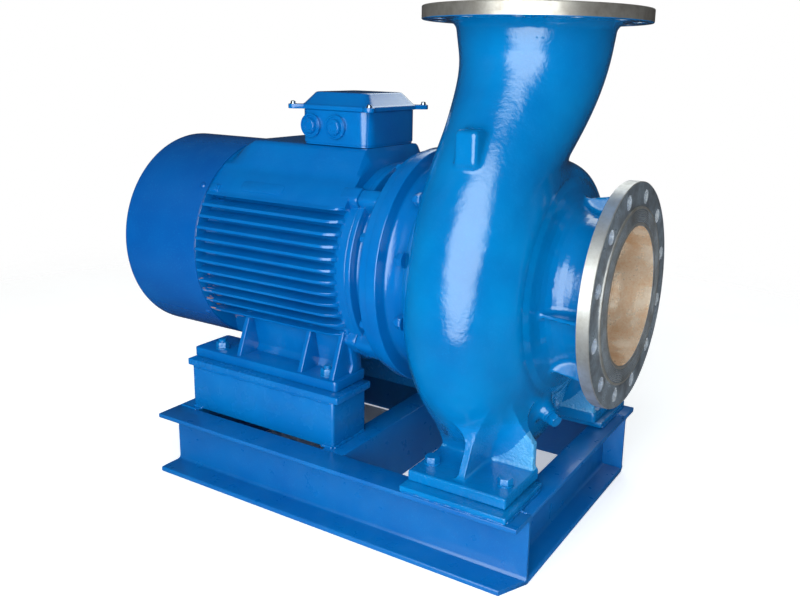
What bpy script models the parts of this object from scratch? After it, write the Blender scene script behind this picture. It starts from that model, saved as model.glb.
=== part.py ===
"""Close-coupled centrifugal pump set on a fabricated steel base.

Foot and flange mounted motor, pump casing with an end suction flange and a vertical
discharge flange, channel base with two motor pedestals. Metres, +Z up. The shaft lies
along X, the suction flange faces +X, and the floor is z = 0.
"""

import math

import bmesh
import bpy
from mathutils import Matrix, Vector

GAP = 0.0003            # clearance between pieces that touch

# overall
AXIS_Z = 0.462          # shaft height above the floor
COWL_REAR = -0.530      # motor end of the set
SUCTION_FACE = 0.530    # sealing face of the suction flange

# base frame
BASE_X0 = -0.360
BASE_X1 = 0.463
BASE_HALF = 0.298
BASE_H = 0.130
CH_FLANGE = 0.058       # channel flange width of the long beams
CH_FLANGE_END = 0.050   # channel flange width of the cross members
CH_WEB = 0.0065
CH_FL = 0.0095
CROSS_X = 0.075         # web face of the middle cross member
SKEW_Y0 = 0.250         # the lower flange's end is cut on a slant from here outward
SKEW_Y1 = 0.300
SKEW_IN0 = 0.004        # how far inside the beam's end the cut lies at the first
SKEW_IN1 = 0.028        # and at the second
SKEW_Z = 0.030          # top of the cut
CLEAR = 0.020           # how far a cutter reaches past what it cuts

# motor pedestals
PED_X0 = -0.329
PED_X1 = 0.043
PED_Y0 = 0.123
PED_Y1 = 0.229
PED_TOP_T = 0.0137
PED_TOP_OUT = 0.011     # how far the top plate reaches past the box at each end
PED_TOP_SIDE = 0.002    # and at each side
MOTOR_H = 0.2256        # shaft height above the motor feet

# motor
MOTOR_FOOT_T = 0.020
MOTOR_FOOT_X0 = -0.340
MOTOR_FOOT_X1 = 0.035
MOTOR_FOOT_Y1 = 0.210
MOTOR_FOOT_Y0 = 0.112
FRAME_X0 = -0.3177
FRAME_X1 = 0.030
FRAME_RING_X1 = 0.048
FRAME_CORE = 0.187
FRAME_TIP = 0.2190
FRAME_PAD = 0.2160
FIN_PITCH = 0.0225
FIN_T = 0.0055
SIDE_FINS = 12
COWL_R = 0.2207
COWL_T = 0.002
COWL_CORNER = 0.008
COWL_SLOTS = 12
COWL_FRONT = -0.318
SHAFT_R = 0.030
BOX_SEAT = 0.2290       # terminal box seat above the shaft
SEAT_HALF0 = 0.094      # its half width where it leaves the band
SEAT_HALF1 = 0.090      # and on top
BOTTOM_FINS = 5         # a side
FOOT_ANGLES = (48.0, 54.0)      # degrees below the side, where a foot's wall joins
BAND_ANGLES = range(40, 64, 4)  # degrees above the side, along the plain band
FRAME_RING_X0 = 0.018   # the end ring overlaps the fins from here
FRAME_RING_R = 0.1985

# drive end shield and pump adapter
SHIELD_RIM_X1 = 0.060
SHIELD_FL_X0 = 0.098
SHIELD_FL_X1 = 0.118
MOTOR_FL_R = 0.2260
ADAPTER_FL_X1 = 0.140
ADAPTER_FL_R = 0.2330
ADAPTER_DRUM_R = 0.203
CASING_BACK = 0.190

# pump casing
VOLUTE_X = 0.296        # plane of the spiral
SPIRAL_DROP = 0.045     # the spiral's centre lies this far below the shaft
SPIRAL_RING0 = 0.168    # centre of the passage from the spiral's centre, at its start
SPIRAL_RING1 = 0.186    # and where it leaves for the neck
SPIRAL_SAG = 0.030      # the passage hangs this much lower at the very bottom
SAG_POWER = 6           # and how fast that fades to each side
SPIRAL_R0 = 0.072       # outer radius of the passage at its start
SPIRAL_R1 = 0.106       # and where it leaves for the neck
SPIRAL_FROM = 35.0      # degrees from the top over the back
SPIRAL_TO = 270.0
NECK_STRAIGHT_Z = 0.900     # the neck's centre line is upright above this
NECK_LIFT = 0.270       # reach of the bend's lower handle
NECK_DRAW = 0.145       # reach of its upper handle
NECK_FLARE_Z0 = 0.710
NECK_FLARE_Z1 = 0.930
NECK_R = 0.143          # outer radius under the discharge flange
INNER = 0.865           # inner over outer radius of the passage
DOME_R = 0.234          # widest radius of the dome
DOME_X = 0.325          # from here its rim turns in toward the nozzle
DOME_REACH = 0.0825     # length of that turn along the shaft
DOME_DROP = 0.034       # and across it
DOME_POWER = 2.25       # roundness of the turn: 2 would be an ellipse
NOZZLE_R = 0.137        # suction nozzle between the dome and its flange
RIB_T = 0.012
RIB_ANGLES = (-145.0, -95.0, 8.0, 95.0, 145.0)      # from the top, front negative
DISCH_X = 0.3196
FLANGE_R = 0.2025       # both flanges, DN 250 PN 16
FLANGE_T = 0.023
RAISED_R = 0.160
RAISED_T = 0.003
BORE_R = 0.125
HOLE_PCD_R = 0.1775
HOLE_R = 0.013
HOLES = 12
HOLE_SIDES = 12
DISCH_FACE = 0.955      # sealing face of the discharge flange

# pump feet
FOOT_X0 = 0.240
FOOT_X1 = 0.430
FOOT_Y0 = 0.140
FOOT_Y1 = 0.273
FOOT_Z0 = 0.1415
FOOT_T = 0.0205

SIDES = 48              # round castings and flanges
BLUE = (0.0, 0.130, 0.440)
PAINT_R = 0.28


def clear_scene():
    for obj in list(bpy.data.objects):
        bpy.data.objects.remove(obj, do_unlink=True)


clear_scene()
parts = bpy.data.collections.new("centrifugal_pump_set")
bpy.context.scene.collection.children.link(parts)
cutters = bpy.data.collections.new("cutters")
bpy.context.scene.collection.children.link(cutters)


def material(name, colour, roughness, metallic):
    mat = bpy.data.materials.new(name)
    mat.use_nodes = True
    bsdf = mat.node_tree.nodes["Principled BSDF"]
    bsdf.inputs["Base Color"].default_value = (*colour, 1.0)
    bsdf.inputs["Roughness"].default_value = roughness
    bsdf.inputs["Metallic"].default_value = metallic
    return mat


def add_mesh(name, bm, collection=None):
    """Turn a bmesh into an object in the parts or the cutters collection."""
    bmesh.ops.recalc_face_normals(bm, faces=bm.faces)
    mesh = bpy.data.meshes.new(name)
    bm.to_mesh(mesh)
    bm.free()
    obj = bpy.data.objects.new(name, mesh)
    (collection or parts).objects.link(obj)
    if collection is cutters:
        hide(obj)
    return obj


def hide(obj):
    obj.hide_render = True
    obj.display_type = "WIRE"


def finish(obj, colour=BLUE, roughness=PAINT_R, metallic=0.0, smooth=True, angle=35.0):
    """Give a piece its own material and its shading."""
    mat = material(obj.name, colour, roughness, metallic)
    obj.data.materials.clear()
    obj.data.materials.append(mat)
    if smooth:
        obj.data.shade_smooth()
        obj.data.set_sharp_from_angle(angle=math.radians(angle))
    return obj


def box(name, lo, hi, collection=None):
    """Box between two opposite corners."""
    bm = bmesh.new()
    bmesh.ops.create_cube(bm, size=1.0)
    for v in bm.verts:
        for i in range(3):
            v.co[i] = lo[i] if v.co[i] < 0 else hi[i]
    return add_mesh(name, bm, collection)


def cylinder(name, start, end, radius, sides=32, radius2=None, collection=None, spin=0.0):
    """Cylinder or cone between two points, one flat side centred unless it is spun."""
    axis = end - start
    bm = bmesh.new()
    bmesh.ops.create_cone(bm, cap_ends=True, segments=sides, radius1=radius,
                          radius2=radius if radius2 is None else radius2, depth=axis.length)
    turn = axis.to_track_quat("Z", "Y").to_matrix().to_4x4()
    place = Matrix.Translation((start + end) / 2.0) @ turn @ Matrix.Rotation(spin, 4, "Z")
    bmesh.ops.transform(bm, matrix=place, verts=bm.verts)
    return add_mesh(name, bm, collection)


WELD_TURNED = 0.0001    # points this close become one, in turned pieces
WELD_CURVE = 0.00002    # and in pieces made from curves
CAP_ANGLE = 0.5         # degrees: flatter edges than this are dissolved on a cap


def turned(name, profile, sides, origin, axis="X", collection=None):
    """Solid of revolution. The profile is (position along the axis, radius) points in order
    from the far end of the axis to the near end down its outer side."""
    mesh = bpy.data.meshes.new(name)
    verts = [(r, 0.0, p) for p, r in profile]
    closed = profile[0][1] > 0.0 or profile[-1][1] > 0.0
    edges = [(i, i + 1) for i in range(len(verts) - 1)]
    if closed:
        edges.append((len(verts) - 1, 0))
    mesh.from_pydata(verts, edges, [])
    obj = bpy.data.objects.new(name, mesh)
    (collection or parts).objects.link(obj)
    obj.location = origin
    if axis == "X":
        obj.rotation_euler = (0.0, math.pi / 2.0, 0.0)
    screw = obj.modifiers.new("turn", "SCREW")
    screw.axis = "Z"
    screw.angle = math.tau
    screw.steps = sides
    screw.render_steps = sides
    screw.use_merge_vertices = True
    screw.merge_threshold = WELD_TURNED
    screw.use_smooth_shade = True
    if collection is cutters:
        hide(obj)
    bpy.context.view_layer.update()
    return obj


def prism(name, outline, lo, hi, axis="X", collection=None):
    """Straight prism of a flat outline: (y, z) points for X, (x, z) for Y, (x, y) for Z."""
    curve = bpy.data.curves.new(name, "CURVE")
    curve.dimensions = "2D"
    curve.fill_mode = "BOTH"
    curve.extrude = (hi - lo) / 2.0
    spline = curve.splines.new("POLY")
    spline.points.add(len(outline) - 1)
    for point, (a, b) in zip(spline.points, outline):
        point.co = (a, b, 0.0, 1.0)
    spline.use_cyclic_u = True
    obj = bpy.data.objects.new(name + "_outline", curve)
    cutters.objects.link(obj)
    mid = (hi + lo) / 2.0
    if axis == "X":
        obj.matrix_world = Matrix(((0, 0, 1, mid), (1, 0, 0, 0), (0, 1, 0, 0), (0, 0, 0, 1)))
    elif axis == "Y":
        obj.matrix_world = Matrix(((1, 0, 0, 0), (0, 0, -1, mid), (0, 1, 0, 0), (0, 0, 0, 1)))
    else:
        obj.matrix_world = Matrix.Translation((0, 0, mid))
    return from_curve(name, obj, collection, True)


def from_curve(name, obj, collection=None, flat=False):
    """Mesh copy of a curve object with its caps welded; the curve is removed."""
    bpy.context.view_layer.update()
    graph = bpy.context.evaluated_depsgraph_get()
    mesh = bpy.data.meshes.new_from_object(obj.evaluated_get(graph))
    mesh.transform(obj.matrix_world)
    curve = obj.data
    bpy.data.objects.remove(obj, do_unlink=True)
    bpy.data.curves.remove(curve)
    bm = bmesh.new()
    bm.from_mesh(mesh)
    bpy.data.meshes.remove(mesh)
    bmesh.ops.remove_doubles(bm, verts=bm.verts, dist=WELD_CURVE)
    if flat:
        bmesh.ops.dissolve_limit(bm, angle_limit=math.radians(CAP_ANGLE), verts=bm.verts, edges=bm.edges)
    return add_mesh(name, bm, collection)


def boolean(obj, other, operation, solver="EXACT"):
    mod = obj.modifiers.new(operation.lower(), "BOOLEAN")
    mod.operation = operation
    mod.object = other
    mod.solver = solver
    return mod


def bevel(obj, width, segments=1, angle=30.0):
    mod = obj.modifiers.new("edge", "BEVEL")
    mod.width = width
    mod.segments = segments
    mod.limit_method = "ANGLE"
    mod.angle_limit = math.radians(angle)
    return mod


def vec(x, y, z):
    return Vector((x, y, z))


# Base frame: channels with their flanges outward, welded into a rectangle with one cross member.
def channel_outline(width):
    """Channel section, web face at zero, flanges toward minus, floor at zero."""
    w = width
    return [(0.0, 0.0), (0.0, BASE_H), (-w, BASE_H), (-w, BASE_H - CH_FL),
            (-CH_WEB, BASE_H - CH_FL), (-CH_WEB, CH_FL), (-w, CH_FL), (-w, 0.0)]


def long_beam(name, side):
    pts = [(side * (BASE_HALF - CH_FLANGE - y), z) for y, z in channel_outline(CH_FLANGE)]
    obj = prism(name, pts, BASE_X0, BASE_X1)
    near, far = BASE_X1 - SKEW_IN1, BASE_X1 + CLEAR
    skew = prism(name + "_end_cut", [(BASE_X1 - SKEW_IN0, side * SKEW_Y0), (near, side * SKEW_Y1),
                                     (near, side * (SKEW_Y1 + CLEAR)), (far, side * (SKEW_Y1 + CLEAR)),
                                     (far, side * SKEW_Y0)], -CLEAR / 2.0, SKEW_Z, "Z", cutters)
    boolean(obj, skew, "DIFFERENCE")
    return finish(obj, smooth=False)


def end_beam(name, web_x, side):
    """Cross member: web face at web_x, flanges toward the given side."""
    half = BASE_HALF - CH_FLANGE - GAP
    pts = [(web_x - side * y, z) for y, z in channel_outline(CH_FLANGE_END)]
    obj = prism(name, pts, -half, half, "Y")
    return finish(obj, smooth=False)


long_beam("base_front_beam", -1.0)
long_beam("base_back_beam", 1.0)
end_beam("base_motor_end_beam", BASE_X0 + CH_FLANGE_END, -1.0)
end_beam("base_suction_end_beam", BASE_X1 - CH_FLANGE_END, 1.0)
end_beam("base_cross_beam", CROSS_X, -1.0)


# Motor pedestals: closed welded boxes, each with a thicker plate on top.
PED_TOP = AXIS_Z - MOTOR_H


def pedestal(label, side):
    y0, y1 = sorted((side * PED_Y0, side * PED_Y1))
    body = box("motor_pedestal_" + label, (PED_X0, y0, BASE_H + GAP),
               (PED_X1, y1, PED_TOP - PED_TOP_T - GAP))
    finish(body, smooth=False)
    plate = box("pedestal_plate_" + label, (PED_X0 - PED_TOP_OUT, y0 - PED_TOP_SIDE, PED_TOP - PED_TOP_T),
                (PED_X1 + PED_TOP_OUT, y1 + PED_TOP_SIDE, PED_TOP - GAP))
    finish(plate, smooth=False)


pedestal("front", -1.0)
pedestal("back", 1.0)


# Motor frame: one casting with side fins, a plain band over the top, feet and box seat.
def frame_outline():
    """Half section in (y, z) about the shaft from the bottom to the top, then mirrored."""
    half = []
    for k in range(BOTTOM_FINS):
        y = (k + 0.5) * FIN_PITCH
        z_root = -math.sqrt(FRAME_CORE ** 2 - y ** 2)
        z_tip = -math.sqrt(FRAME_TIP ** 2 - y ** 2)
        t = FIN_T / 2.0
        half += [(y - t, z_root), (y - t, z_tip), (y + t, z_tip), (y + t, z_root)]
    for a in FOOT_ANGLES:
        half.append((FRAME_CORE * math.cos(math.radians(a)), -FRAME_CORE * math.sin(math.radians(a))))
    half[-2:] = sorted(half[-2:])
    for k in range(SIDE_FINS):
        z = (k - (SIDE_FINS - 1) / 2.0) * FIN_PITCH
        t = FIN_T / 2.0
        y_root = math.sqrt(FRAME_CORE ** 2 - z ** 2)
        y_tip = math.sqrt(FRAME_TIP ** 2 - z ** 2)
        half += [(y_root, z - t), (y_tip, z - t), (y_tip, z + t), (y_root, z + t)]
    for a in BAND_ANGLES:
        half.append((FRAME_PAD * math.cos(math.radians(a)), FRAME_PAD * math.sin(math.radians(a))))
    half += [(SEAT_HALF0, math.sqrt(FRAME_PAD ** 2 - SEAT_HALF0 ** 2)), (SEAT_HALF1, BOX_SEAT)]
    return half + [(-y, z) for y, z in reversed(half)]


# foot wall and gussets: (distance from the shaft's plane, height above the foot's underside)
FOOT_WALL = ((0.114, 0.004), (0.150, 0.004), (0.150, 0.030), (0.165, 0.120), (0.130, 0.120))
FOOT_WALL_X0 = -0.2275
FOOT_WALL_X1 = 0.029
GUSSET = ((0.140, 0.010), (0.203, 0.010), (0.203, 0.022), (0.168, 0.110), (0.140, 0.110))
GUSSET_T = 0.011
GUSSET_X = (-0.222, -0.060, 0.018)


def motor_frame():
    pts = [(y, z + AXIS_Z) for y, z in frame_outline()]
    frame = prism("motor_frame", pts, FRAME_X0, FRAME_X1)
    ring = cylinder("frame_ring", vec(FRAME_RING_X0, 0, AXIS_Z), vec(FRAME_RING_X1, 0, AXIS_Z),
                    FRAME_RING_R, SIDES, collection=cutters)
    boolean(frame, ring, "UNION", "MANIFOLD")
    low = AXIS_Z - MOTOR_H
    for side, label in ((-1.0, "front"), (1.0, "back")):
        y0, y1 = sorted((side * MOTOR_FOOT_Y0, side * MOTOR_FOOT_Y1))
        foot = box("motor_foot_" + label, (MOTOR_FOOT_X0, y0, low),
                   (MOTOR_FOOT_X1, y1, low + MOTOR_FOOT_T), cutters)
        boolean(frame, foot, "UNION", "MANIFOLD")
        wall = prism("motor_foot_wall_" + label, [(side * y, low + z) for y, z in FOOT_WALL],
                     FOOT_WALL_X0, FOOT_WALL_X1, "X", cutters)
        boolean(frame, wall, "UNION", "MANIFOLD")
        for i, x in enumerate(GUSSET_X):
            gusset = prism("motor_gusset_%s_%d" % (label, i), [(side * y, low + z) for y, z in GUSSET],
                           x - GUSSET_T / 2.0, x + GUSSET_T / 2.0, "X", cutters)
            boolean(frame, gusset, "UNION", "MANIFOLD")
    bore = cylinder("frame_bore", vec(FRAME_X0 - CLEAR, 0, AXIS_Z), vec(FRAME_RING_X1 + CLEAR, 0, AXIS_Z),
                    SHAFT_R + GAP, 24, collection=cutters)
    boolean(frame, bore, "DIFFERENCE", "MANIFOLD")
    return finish(frame, angle=30.0)


motor_frame()


# Rear end shield: the disc that closes the frame and carries the cowl's rim.
REAR_SEAT_X = -0.346        # end of the seat that the cowl's rim sits on
REAR_FACE_X = -0.350
REAR_FACE_R0 = 0.090
REAR_FACE_R1 = 0.200
REAR_HUB_X = -0.372
REAR_HUB_R = 0.070
REAR_SEAT_R = COWL_R - COWL_T - GAP

rear_shield = turned("rear_end_shield",
                     [(FRAME_X0 - GAP, REAR_SEAT_R), (REAR_SEAT_X, REAR_SEAT_R), (REAR_FACE_X, REAR_FACE_R1),
                      (REAR_FACE_X, REAR_FACE_R0), (REAR_HUB_X, REAR_HUB_R), (REAR_HUB_X, SHAFT_R + GAP),
                      (FRAME_X0 - GAP, SHAFT_R + GAP)], SIDES, vec(0, 0, AXIS_Z))
finish(rear_shield)


# Fan cowl: thin pressed shell over the fan end, with slots in its flat rear face.
COWL_EYE_R = 0.018
SLOT_HALF = 0.0085
SLOT_R0 = 0.070
SLOT_R1 = 0.165


def fan_cowl():
    x0, x1, r, t = COWL_REAR, COWL_FRONT, COWL_R, COWL_T
    rc = COWL_CORNER
    steps = 3
    outer = [(x1, r)]
    inner = [(x1, r - t)]
    for i in range(steps + 1):
        a = math.radians(90.0 * i / steps)
        outer.append((x0 + rc - rc * math.sin(a), r - rc + rc * math.cos(a)))
        inner.append((x0 + rc - (rc - t) * math.sin(a), r - rc + (rc - t) * math.cos(a)))
    profile = outer + [(x0, COWL_EYE_R), (x0 + t, COWL_EYE_R)] + inner[::-1]
    shell = turned("fan_cowl", profile, SIDES, vec(0, 0, AXIS_Z))
    for i in range(COWL_SLOTS):
        a = math.tau * i / COWL_SLOTS
        slot = box("cowl_slot_%02d" % i, (x0 - CLEAR, -SLOT_HALF, SLOT_R0), (x0 + rc, SLOT_HALF, SLOT_R1),
                   cutters)
        slot.matrix_world = Matrix.Translation((0, 0, AXIS_Z)) @ Matrix.Rotation(a, 4, "X")
        boolean(shell, slot, "DIFFERENCE")
    return finish(shell)


fan_cowl()


# Shaft: from the fan through the motor to the impeller.
NOSE_X, NOSE_R = 0.352, 0.015       # stub that the impeller's nut sits on
HUB_X0, HUB_X1, HUB_SEAT_R = 0.262, 0.300, 0.024
FAN_STEP_X, FAN_SEAT_R = -0.400, 0.024
SHAFT_REAR = -0.500
SHAFT_SIDES = 24

shaft = turned("motor_shaft", [(NOSE_X, 0.0), (NOSE_X, NOSE_R), (HUB_X1, NOSE_R), (HUB_X1, HUB_SEAT_R),
                               (HUB_X0, HUB_SEAT_R), (HUB_X0, SHAFT_R), (FAN_STEP_X, SHAFT_R),
                               (FAN_STEP_X, FAN_SEAT_R), (SHAFT_REAR, FAN_SEAT_R), (SHAFT_REAR, 0.0)],
               SHAFT_SIDES, vec(0, 0, AXIS_Z))
finish(shaft, (0.42, 0.41, 0.40), 0.35, 1.0)


# External fan on the shaft behind the motor: hub, back disc and straight blades.
FAN_X0, FAN_X1 = -0.480, -0.410
FAN_DISC_T, FAN_DISC_R = 0.005, 0.150
FAN_HUB_R0, FAN_HUB_R1 = 0.044, 0.048       # the hub tapers toward its open end
FAN_BLADES = 7
BLADE_HALF = 0.002
BLADE_R0, BLADE_R1 = 0.040, 0.180


def fan():
    disc = FAN_X1 - FAN_DISC_T
    body = turned("cooling_fan", [(FAN_X1, FAN_DISC_R), (disc, FAN_DISC_R), (disc, FAN_HUB_R1),
                                  (FAN_X0, FAN_HUB_R0), (FAN_X0, FAN_SEAT_R + GAP),
                                  (FAN_X1, FAN_SEAT_R + GAP)],
                  SHAFT_SIDES, vec(0, 0, AXIS_Z))
    for i in range(FAN_BLADES):
        blade = box("fan_blade_%d" % i, (FAN_X0, -BLADE_HALF, BLADE_R0),
                    (disc + BLADE_HALF, BLADE_HALF, BLADE_R1), cutters)
        turn = Matrix.Rotation(math.tau * i / FAN_BLADES, 4, "X")
        blade.matrix_world = Matrix.Translation((0, 0, AXIS_Z)) @ turn
        boolean(body, blade, "UNION")
    return finish(body, (0.03, 0.03, 0.03), 0.6, 0.0)


fan()


# Drive end shield: stepped casting with the mounting flange that the pump adapter bolts to.
EDGE = 0.002            # chamfer on turned rims
SHIELD_RIM_R = 0.200
SHIELD_RIM_IN = 0.004   # fall of the rim's edge
SHIELD_DRUM_X0, SHIELD_DRUM_R0 = 0.061, 0.180
SHIELD_DRUM_X1, SHIELD_DRUM_R1 = 0.072, 0.178
SHIELD_CONE_X, SHIELD_CONE_R = 0.094, 0.190     # the drum flares to here under the flange

shield = turned("drive_end_shield",
                [(SHIELD_FL_X1, MOTOR_FL_R - EDGE), (SHIELD_FL_X1 - EDGE, MOTOR_FL_R),
                 (SHIELD_FL_X0, MOTOR_FL_R), (SHIELD_CONE_X, SHIELD_CONE_R), (SHIELD_DRUM_X1, SHIELD_DRUM_R1),
                 (SHIELD_DRUM_X0, SHIELD_DRUM_R0), (SHIELD_RIM_X1, SHIELD_RIM_R - SHIELD_RIM_IN),
                 (SHIELD_RIM_X1 - EDGE, SHIELD_RIM_R), (FRAME_RING_X1 + GAP, SHIELD_RIM_R),
                 (FRAME_RING_X1 + GAP, SHAFT_R + GAP), (SHIELD_FL_X1, SHAFT_R + GAP)],
                SIDES, vec(0, 0, AXIS_Z))
finish(shield)


# Pump adapter: flange on the motor side, drum, and the cover that closes the casing's back.
COVER_X, COVER_R = 0.240, 0.158
DRUM_END_X, DRUM_FLARE = 0.180, 0.006       # the drum widens a little from here to the casing

adapter = turned("pump_adapter",
                 [(COVER_X, SHAFT_R + GAP), (COVER_X, COVER_R), (CASING_BACK - GAP, COVER_R),
                  (CASING_BACK - GAP, ADAPTER_DRUM_R + DRUM_FLARE), (DRUM_END_X, ADAPTER_DRUM_R),
                  (ADAPTER_FL_X1, ADAPTER_DRUM_R), (ADAPTER_FL_X1, ADAPTER_FL_R - EDGE),
                  (ADAPTER_FL_X1 - EDGE, ADAPTER_FL_R), (SHIELD_FL_X1 + GAP, ADAPTER_FL_R),
                  (SHIELD_FL_X1 + GAP, SHAFT_R + GAP)], SIDES, vec(0, 0, AXIS_Z))
finish(adapter)


# Terminal box on the motor's top seat, with its lid and three round blanking plugs.
BOX_X0, BOX_X1, BOX_HALF = -0.146, 0.021, 0.088
BOX_Z0 = AXIS_Z + BOX_SEAT + GAP
BOX_Z1 = 0.7600
BOX_CORNER = 0.012
LID_OUT, LID_T, LID_CORNER = 0.004, 0.010, 0.014    # the lid's rim past the box, its edge and corners
CROWN_IN0, CROWN_Z0 = 0.004, 0.006          # the crown's foot, inside the box's sides
CROWN_IN1, CROWN_Z1 = 0.032, 0.034          # and its flat top
EAR_OUT, EAR_R, EAR_BACK, EAR_T = 0.008, 0.011, 0.020, 0.0095


def terminal_box():
    body = box("terminal_box", (BOX_X0, -BOX_HALF, BOX_Z0), (BOX_X1, BOX_HALF, BOX_Z1))
    mod = bevel(body, BOX_CORNER, 3)
    mod.limit_method = "WEIGHT"
    attr = body.data.attributes.new("bevel_weight_edge", "FLOAT", "EDGE")
    for e in body.data.edges:
        a, b = (body.data.vertices[i].co for i in e.vertices)
        attr.data[e.index].value = 1.0 if abs(a.z - b.z) > BOX_CORNER else 0.0
    finish(body)
    z = BOX_Z1 + GAP
    half = BOX_HALF + LID_OUT
    lid = prism("terminal_box_lid", rounded(BOX_X0 - LID_OUT, -half, BOX_X1 + LID_OUT, half, LID_CORNER),
                z, z + LID_T, "Z")
    bm = bmesh.new()
    bmesh.ops.create_cube(bm, size=1.0)
    for v in bm.verts:
        top = v.co.z > 0
        inset = CROWN_IN1 if top else CROWN_IN0
        v.co.x = BOX_X0 + inset if v.co.x < 0 else BOX_X1 - inset
        v.co.y = -BOX_HALF + inset if v.co.y < 0 else BOX_HALF - inset
        v.co.z = z + (CROWN_Z1 if top else CROWN_Z0)
    crown = add_mesh("lid_crown", bm, cutters)
    boolean(lid, crown, "UNION")
    for sx, x in ((-1, BOX_X0), (1, BOX_X1)):
        for sy in (-1, 1):
            ear = prism("lid_ear_%d_%d" % (sx, sy), ear_outline(x, sx, sy), z, z + EAR_T, "Z", cutters)
            boolean(lid, ear, "UNION")
    finish(lid)


def ear_outline(x, sx, sy):
    """Round ear that points outward from a corner of the lid."""
    cx, cy, r = x + sx * EAR_OUT, sy * (BOX_HALF + EAR_OUT), EAR_R
    facing = math.atan2(sy, sx)
    pts = [(cx + r * math.cos(facing + a), cy + r * math.sin(facing + a))
           for a in (math.radians(d) for d in range(-90, 91, 30))]
    for a in (math.pi / 2.0, -math.pi / 2.0):
        pts.append((cx + r * math.cos(facing + a) - EAR_BACK * math.cos(facing),
                    cy + r * math.sin(facing + a) - EAR_BACK * math.sin(facing)))
    return pts


def rounded(x0, y0, x1, y1, r, n=4):
    """Rectangle outline with round corners."""
    pts = []
    for cx, cy, a0 in ((x1 - r, y0 + r, -90), (x1 - r, y1 - r, 0),
                       (x0 + r, y1 - r, 90), (x0 + r, y0 + r, 180)):
        for i in range(n + 1):
            a = math.radians(a0 + 90.0 * i / n)
            pts.append((cx + r * math.cos(a), cy + r * math.sin(a)))
    return pts


terminal_box()


PLUG_R, PLUG_T = 0.0235, 0.007
PLUG_HEAD_R, PLUG_HEAD_T = 0.015, 0.012
PLUG_SIDES = 20
PLUG_A, PLUG_B = 0.030, 0.091       # from the box's motor end, along its front
PLUG_SIDE_Y = -0.045
PLUG_Z = 0.7285


def plug(name, at, direction):
    """Blanking plug: collar and a shallow round head."""
    start = at + direction * GAP
    body = cylinder(name, start, start + direction * PLUG_T, PLUG_R, PLUG_SIDES)
    head = cylinder(name + "_head", start + direction * PLUG_T / 2.0, start + direction * PLUG_HEAD_T,
                    PLUG_HEAD_R, PLUG_SIDES, collection=cutters)
    boolean(body, head, "UNION")
    finish(body)


plug("gland_plug_front_a", vec(BOX_X0 + PLUG_A, -BOX_HALF, PLUG_Z), vec(0, -1, 0))
plug("gland_plug_front_b", vec(BOX_X0 + PLUG_B, -BOX_HALF, PLUG_Z), vec(0, -1, 0))
plug("gland_plug_side", vec(BOX_X0, PLUG_SIDE_Y, PLUG_Z), vec(-1, 0, 0))


# Pump casing: spiral passage, suction dome and nozzle, and the rising discharge neck.
def mix(a, b, t):
    return a + (b - a) * t


def passage():
    """Centre line of the spiral and neck with the outer radius of the metal round it.
    Angles run from the top over the back, the bottom and the front. The neck is a cubic
    curve that leaves the spiral upward and ends upright under the discharge flange."""
    centre = AXIS_Z - SPIRAL_DROP
    pts = []
    steps = 22
    for i in range(steps + 1):
        t = i / steps
        a = math.radians(mix(SPIRAL_FROM, SPIRAL_TO, t))
        ring = mix(SPIRAL_RING0, SPIRAL_RING1, t) + SPIRAL_SAG * max(0.0, -math.cos(a)) ** SAG_POWER
        pts.append((VOLUTE_X, ring * math.sin(a), centre + ring * math.cos(a),
                    mix(SPIRAL_R0, SPIRAL_R1, t)))
    steps = 12
    for i in range(1, steps + 1):
        t = i / steps
        low = (1.0 - t) ** 3
        lift = 3.0 * (1.0 - t) ** 2 * t
        draw = 3.0 * (1.0 - t) * t * t
        z = (centre * low + (centre + NECK_LIFT) * lift
             + (NECK_STRAIGHT_Z - NECK_DRAW) * draw + NECK_STRAIGHT_Z * t ** 3)
        back = 1.0 - low - lift
        flare = min(1.0, max(0.0, (z - NECK_FLARE_Z0) / (NECK_FLARE_Z1 - NECK_FLARE_Z0)))
        pts.append((mix(VOLUTE_X, DISCH_X, back), mix(-SPIRAL_RING1, 0.0, back), z,
                    mix(SPIRAL_R1, NECK_R, flare)))
    pts.append((DISCH_X, 0.0, NECK_FLARE_Z1, NECK_R))
    pts.append((DISCH_X, 0.0, DISCH_FACE, NECK_R))
    return pts


def tube(name, points, sides, scale=1.0, grow=0.0, collection=cutters):
    """Round tube along points with a radius at each."""
    curve = bpy.data.curves.new(name, "CURVE")
    curve.dimensions = "3D"
    curve.bevel_depth = 1.0
    curve.bevel_resolution = sides // 4 - 1
    curve.use_fill_caps = True
    curve.twist_mode = "MINIMUM"
    spline = curve.splines.new("POLY")
    spline.points.add(len(points) - 1)
    for p, (x, y, z, r) in zip(spline.points, points):
        p.co = (x, y, z, 1.0)
        p.radius = r * scale + grow
    obj = bpy.data.objects.new(name + "_path", curve)
    cutters.objects.link(obj)
    return from_curve(name, obj, collection)


FLANGE_BACK = SUCTION_FACE - RAISED_T - FLANGE_T - GAP
RIB_X0 = 0.400
RIB_FOOT_R = 0.120      # inside the nozzle's wall
RIB_R0, RIB_R1 = 0.158, 0.176       # outer edge at the dome and at the flange
NOZZLE_FLARE, FLARE_L = 0.006, 0.012    # the nozzle widens under its flange
NOZZLE_FILLET = ((0.448, NOZZLE_R), (0.436, 0.141), (0.428, 0.150), (0.422, 0.165), (0.416, 0.182))
DOME_BACK = ((0.240, 0.230), (0.215, 0.222), (CASING_BACK, 0.213))


def rib(name, angle):
    """Radial web between the suction dome and the back of the suction flange."""
    body = prism(name, [(RIB_X0, RIB_FOOT_R), (FLANGE_BACK, RIB_FOOT_R), (FLANGE_BACK, RIB_R1),
                        (RIB_X0, RIB_R0)],
                 -RIB_T / 2.0, RIB_T / 2.0, "Y", cutters)
    body.matrix_world = Matrix.Translation((0, 0, AXIS_Z)) @ Matrix.Rotation(math.radians(angle), 4, "X")
    return body


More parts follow.
